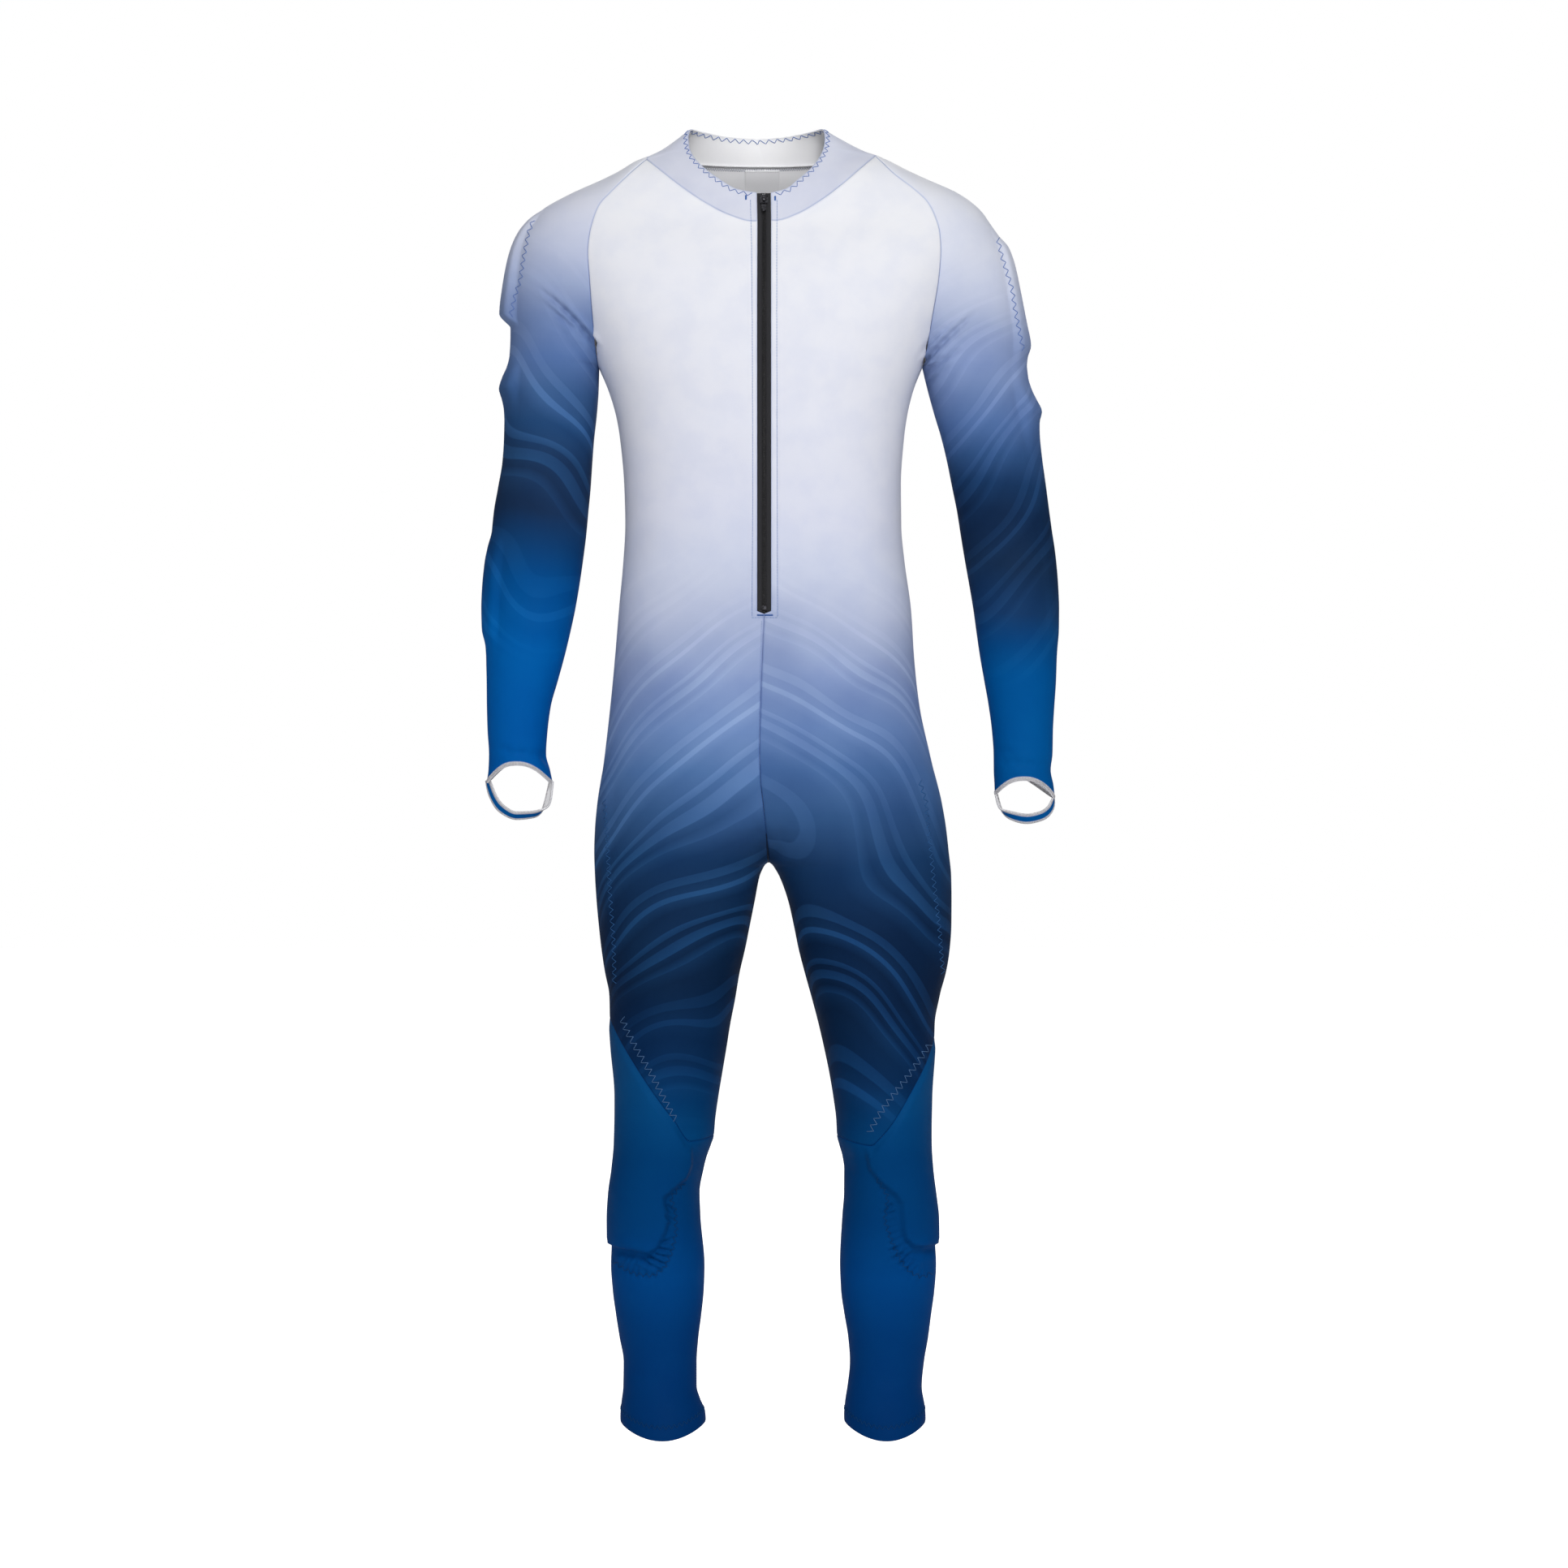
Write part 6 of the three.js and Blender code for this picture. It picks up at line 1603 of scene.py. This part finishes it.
def zip_materials():
    tape = Shader("tape", 0.75, sheen=0.1, specular=0.25)
    weave = tape.wave(520.0, 1.2, "Z")
    tape.bump(weave, 0.0002, 0.7)
    tape.finish(tape.mixed(weave, linear(24, 24, 27), linear(52, 52, 56)))
    coil = Shader("coil", 0.38, specular=0.5)
    grain = coil.noise(coil.place(), 900, 2.0)
    coil.finish(coil.mixed(grain, linear(12, 12, 14), linear(30, 30, 34)),
                coil.range(grain, 0.3, 0.7, 0.3, 0.5))
    metal = Shader("metal", 0.34, metallic=0.75)
    scuffs = metal.noise(metal.place(), 420, 4.0)
    metal.bump(scuffs, 0.00008, 0.4)
    metal.finish(metal.mixed(metal.range(scuffs, 0.35, 0.75), linear(30, 30, 33), linear(78, 78, 84)),
                 metal.range(scuffs, 0.3, 0.7, 0.25, 0.48))


def build_materials():
    for i, (name, side) in enumerate(SIDES.items()):
        printed_cloth(f"body_{name}", BODY_TONES, (0.37 + 0.61 * i, 0.2, 0.11 + 0.43 * i), 0.5 * side)
        printed_cloth(f"back_{name}", BODY_TONES, (1.3 + 0.53 * i, 0.9, 0.7 + 0.29 * i), -0.4 * side)
        printed_cloth(f"sleeve_{name}", SLEEVE_TONES[name], (2.2 + 0.7 * i, 0.4, 1.1 + 0.5 * i),
                      -0.8 * side, -580 - 30 * i, -40)
        plain_cloth(f"loop_{name}", [(-760, (0, 78, 144)), (-700, (0, 88, 158))])
    plain_cloth("shin", SHIN_TONES)
    # The collar is the body's white cloth, painted darker than the chest as painted shade for its front,
    # which light from above leaves in shade.
    collar = Shader("collar", 0.6, specular=0.08)
    cloud = collar.range(collar.noise(collar.place(), 18, 3.0), 0.3, 0.7)
    finish_cloth(collar, collar.mixed(cloud, linear(204, 207, 221), linear(210, 213, 226)))
    # The inside face is the white back of the cloth, painted lighter than its outside as painted light that
    # lifts the shade inside the neck.
    inner = Shader("inner_face", 0.75, specular=0.08)
    loops = inner.range(inner.noise(inner.place(), 24, 3.0), 0.3, 0.7)
    inner.bump(knit(inner), 0.00014, 0.6)
    inner.finish(inner.mixed(loops, linear(250, 250, 253), linear(253, 253, 255)))
    # The label is white satin, painted near full white as painted light that lifts the shade inside the
    # back neck.
    satin = Shader("satin", 0.26, sheen=0.1, specular=0.6)
    floats = satin.wave(1300.0, 0.6, "X")
    satin.bump(floats, 0.00004, 0.2)
    satin.finish(satin.mixed(floats, linear(246, 246, 250), linear(253, 253, 255)))
    zip_materials()
    for name, colour in THREADS.items():
        thread_material(f"thread_{name}", colour)


# No sheet may be declared narrower than NARROWEST, so the zip's tapes are declared at that width with
# their own area.


# Floor, lights and camera

WHITE = (1, 1, 1, 1)
FLOOR = -1515
FLOOR_REACH = 14000
FLOOR_GLOW = 0.85
AMBIENT = 0.21

# Soft lights: name, place and size in metres, and power
LIGHTS = [
    ("key", (0.45, -3.5, 1.5), 1.1, 1.1, 70),
    ("fill", (0.2, -3.9, -0.9), 1.8, 1.6, 15),
    ("right", (2.3, -2.3, 0.3), 1.0, 1.2, 14),
    ("left", (-2.3, -2.3, 0.1), 1.0, 1.2, 11),
    ("top", (0, -0.8, 2.6), 2.4, 1.6, 10),
    ("back", (0, 3.6, 1.2), 3.0, 2.6, 60),
]
LIGHTS_AIM = (0.02, 0, -0.7)

# A narrow light that reaches over the front of the collar into the neck
NECK_LIGHT = {"place": (0, -2.4, 1.5), "aim": (0, 0.055, -0.02), "power": 105, "cone": 3.7, "size": 0.12}


def build_floor():
    size = FLOOR_REACH
    corners = [(-size, -size, FLOOR), (size, -size, FLOOR), (size, size, FLOOR), (-size, size, FLOOR)]
    mesh = bpy.data.meshes.new("floor")
    mesh.from_pydata([tuple(value * MM for value in corner) for corner in corners], [], [(0, 1, 2, 3)])
    floor = bpy.data.objects.new("floor", mesh)
    bpy.context.scene.collection.objects.link(floor)
    pale = Shader("floor", 0.9, specular=0.1)
    cloud = pale.noise(pale.place(), 1.5, 2.0)
    pale.finish(pale.mixed(cloud, linear(249, 249, 250), linear(251, 251, 251)))
    pale.surface.inputs["Emission Color"].default_value = WHITE
    seen_directly = pale.add("LightPath").outputs["Is Camera Ray"]
    glow = pale.math("MULTIPLY", seen_directly, FLOOR_GLOW)
    pale.links.new(glow, pale.surface.inputs["Emission Strength"])
    mesh.materials.append(MATERIALS["floor"])


def build_world():
    """An even glow all round, and plain white where the camera looks past the floor."""
    world = bpy.data.worlds.new("studio")
    bpy.context.scene.world = world
    world.use_nodes = True
    nodes, links = world.node_tree.nodes, world.node_tree.links
    background = nodes["Background"]
    background.inputs["Color"].default_value = WHITE
    background.inputs["Strength"].default_value = AMBIENT
    shown = nodes.new("ShaderNodeBackground")
    shown.inputs["Color"].default_value = WHITE
    path = nodes.new("ShaderNodeLightPath")
    choice = nodes.new("ShaderNodeMixShader")
    links.new(path.outputs["Is Camera Ray"], choice.inputs[0])
    links.new(background.outputs[0], choice.inputs[1])
    links.new(shown.outputs[0], choice.inputs[2])
    links.new(choice.outputs[0], nodes["World Output"].inputs["Surface"])


def hang_lamp(light, place, aim):
    lamp = bpy.data.objects.new(light.name, light)
    lamp.location = place
    lamp.rotation_mode = "QUATERNION"
    lamp.rotation_quaternion = (Vector(place) - Vector(aim)).to_track_quat("Z", "Y")
    bpy.context.scene.collection.objects.link(lamp)


def build_lights():
    for name, place, width, height, power in LIGHTS:
        light = bpy.data.lights.new(name, "AREA")
        light.shape = "RECTANGLE"
        light.size = width
        light.size_y = height
        light.energy = power
        hang_lamp(light, place, LIGHTS_AIM)
    spot = bpy.data.lights.new("neck", "SPOT")
    spot.energy = NECK_LIGHT["power"]
    spot.spot_size = math.radians(NECK_LIGHT["cone"])
    spot.spot_blend = 1
    spot.shadow_soft_size = NECK_LIGHT["size"]
    hang_lamp(spot, NECK_LIGHT["place"], NECK_LIGHT["aim"])


def build_camera():
    data = bpy.data.cameras.new("camera")
    data.sensor_width = SENSOR
    data.lens = SENSOR * -CAMERA[1] / (PHOTO_SIZE * PIXEL)
    data.clip_start = 0.1
    data.clip_end = 60
    camera = bpy.data.objects.new("camera", data)
    camera.location = [value * MM for value in CAMERA]
    camera.rotation_euler = (math.radians(90), 0, 0)
    bpy.context.scene.collection.objects.link(camera)
    bpy.context.scene.camera = camera
    bpy.context.scene.view_settings.view_transform = "Standard"


build_materials()
build_cloth()
build_hand_loops()
build_zip()
build_label()
build_neck_seam()
build_stitches()
build_floor()
build_world()
build_lights()
build_camera()
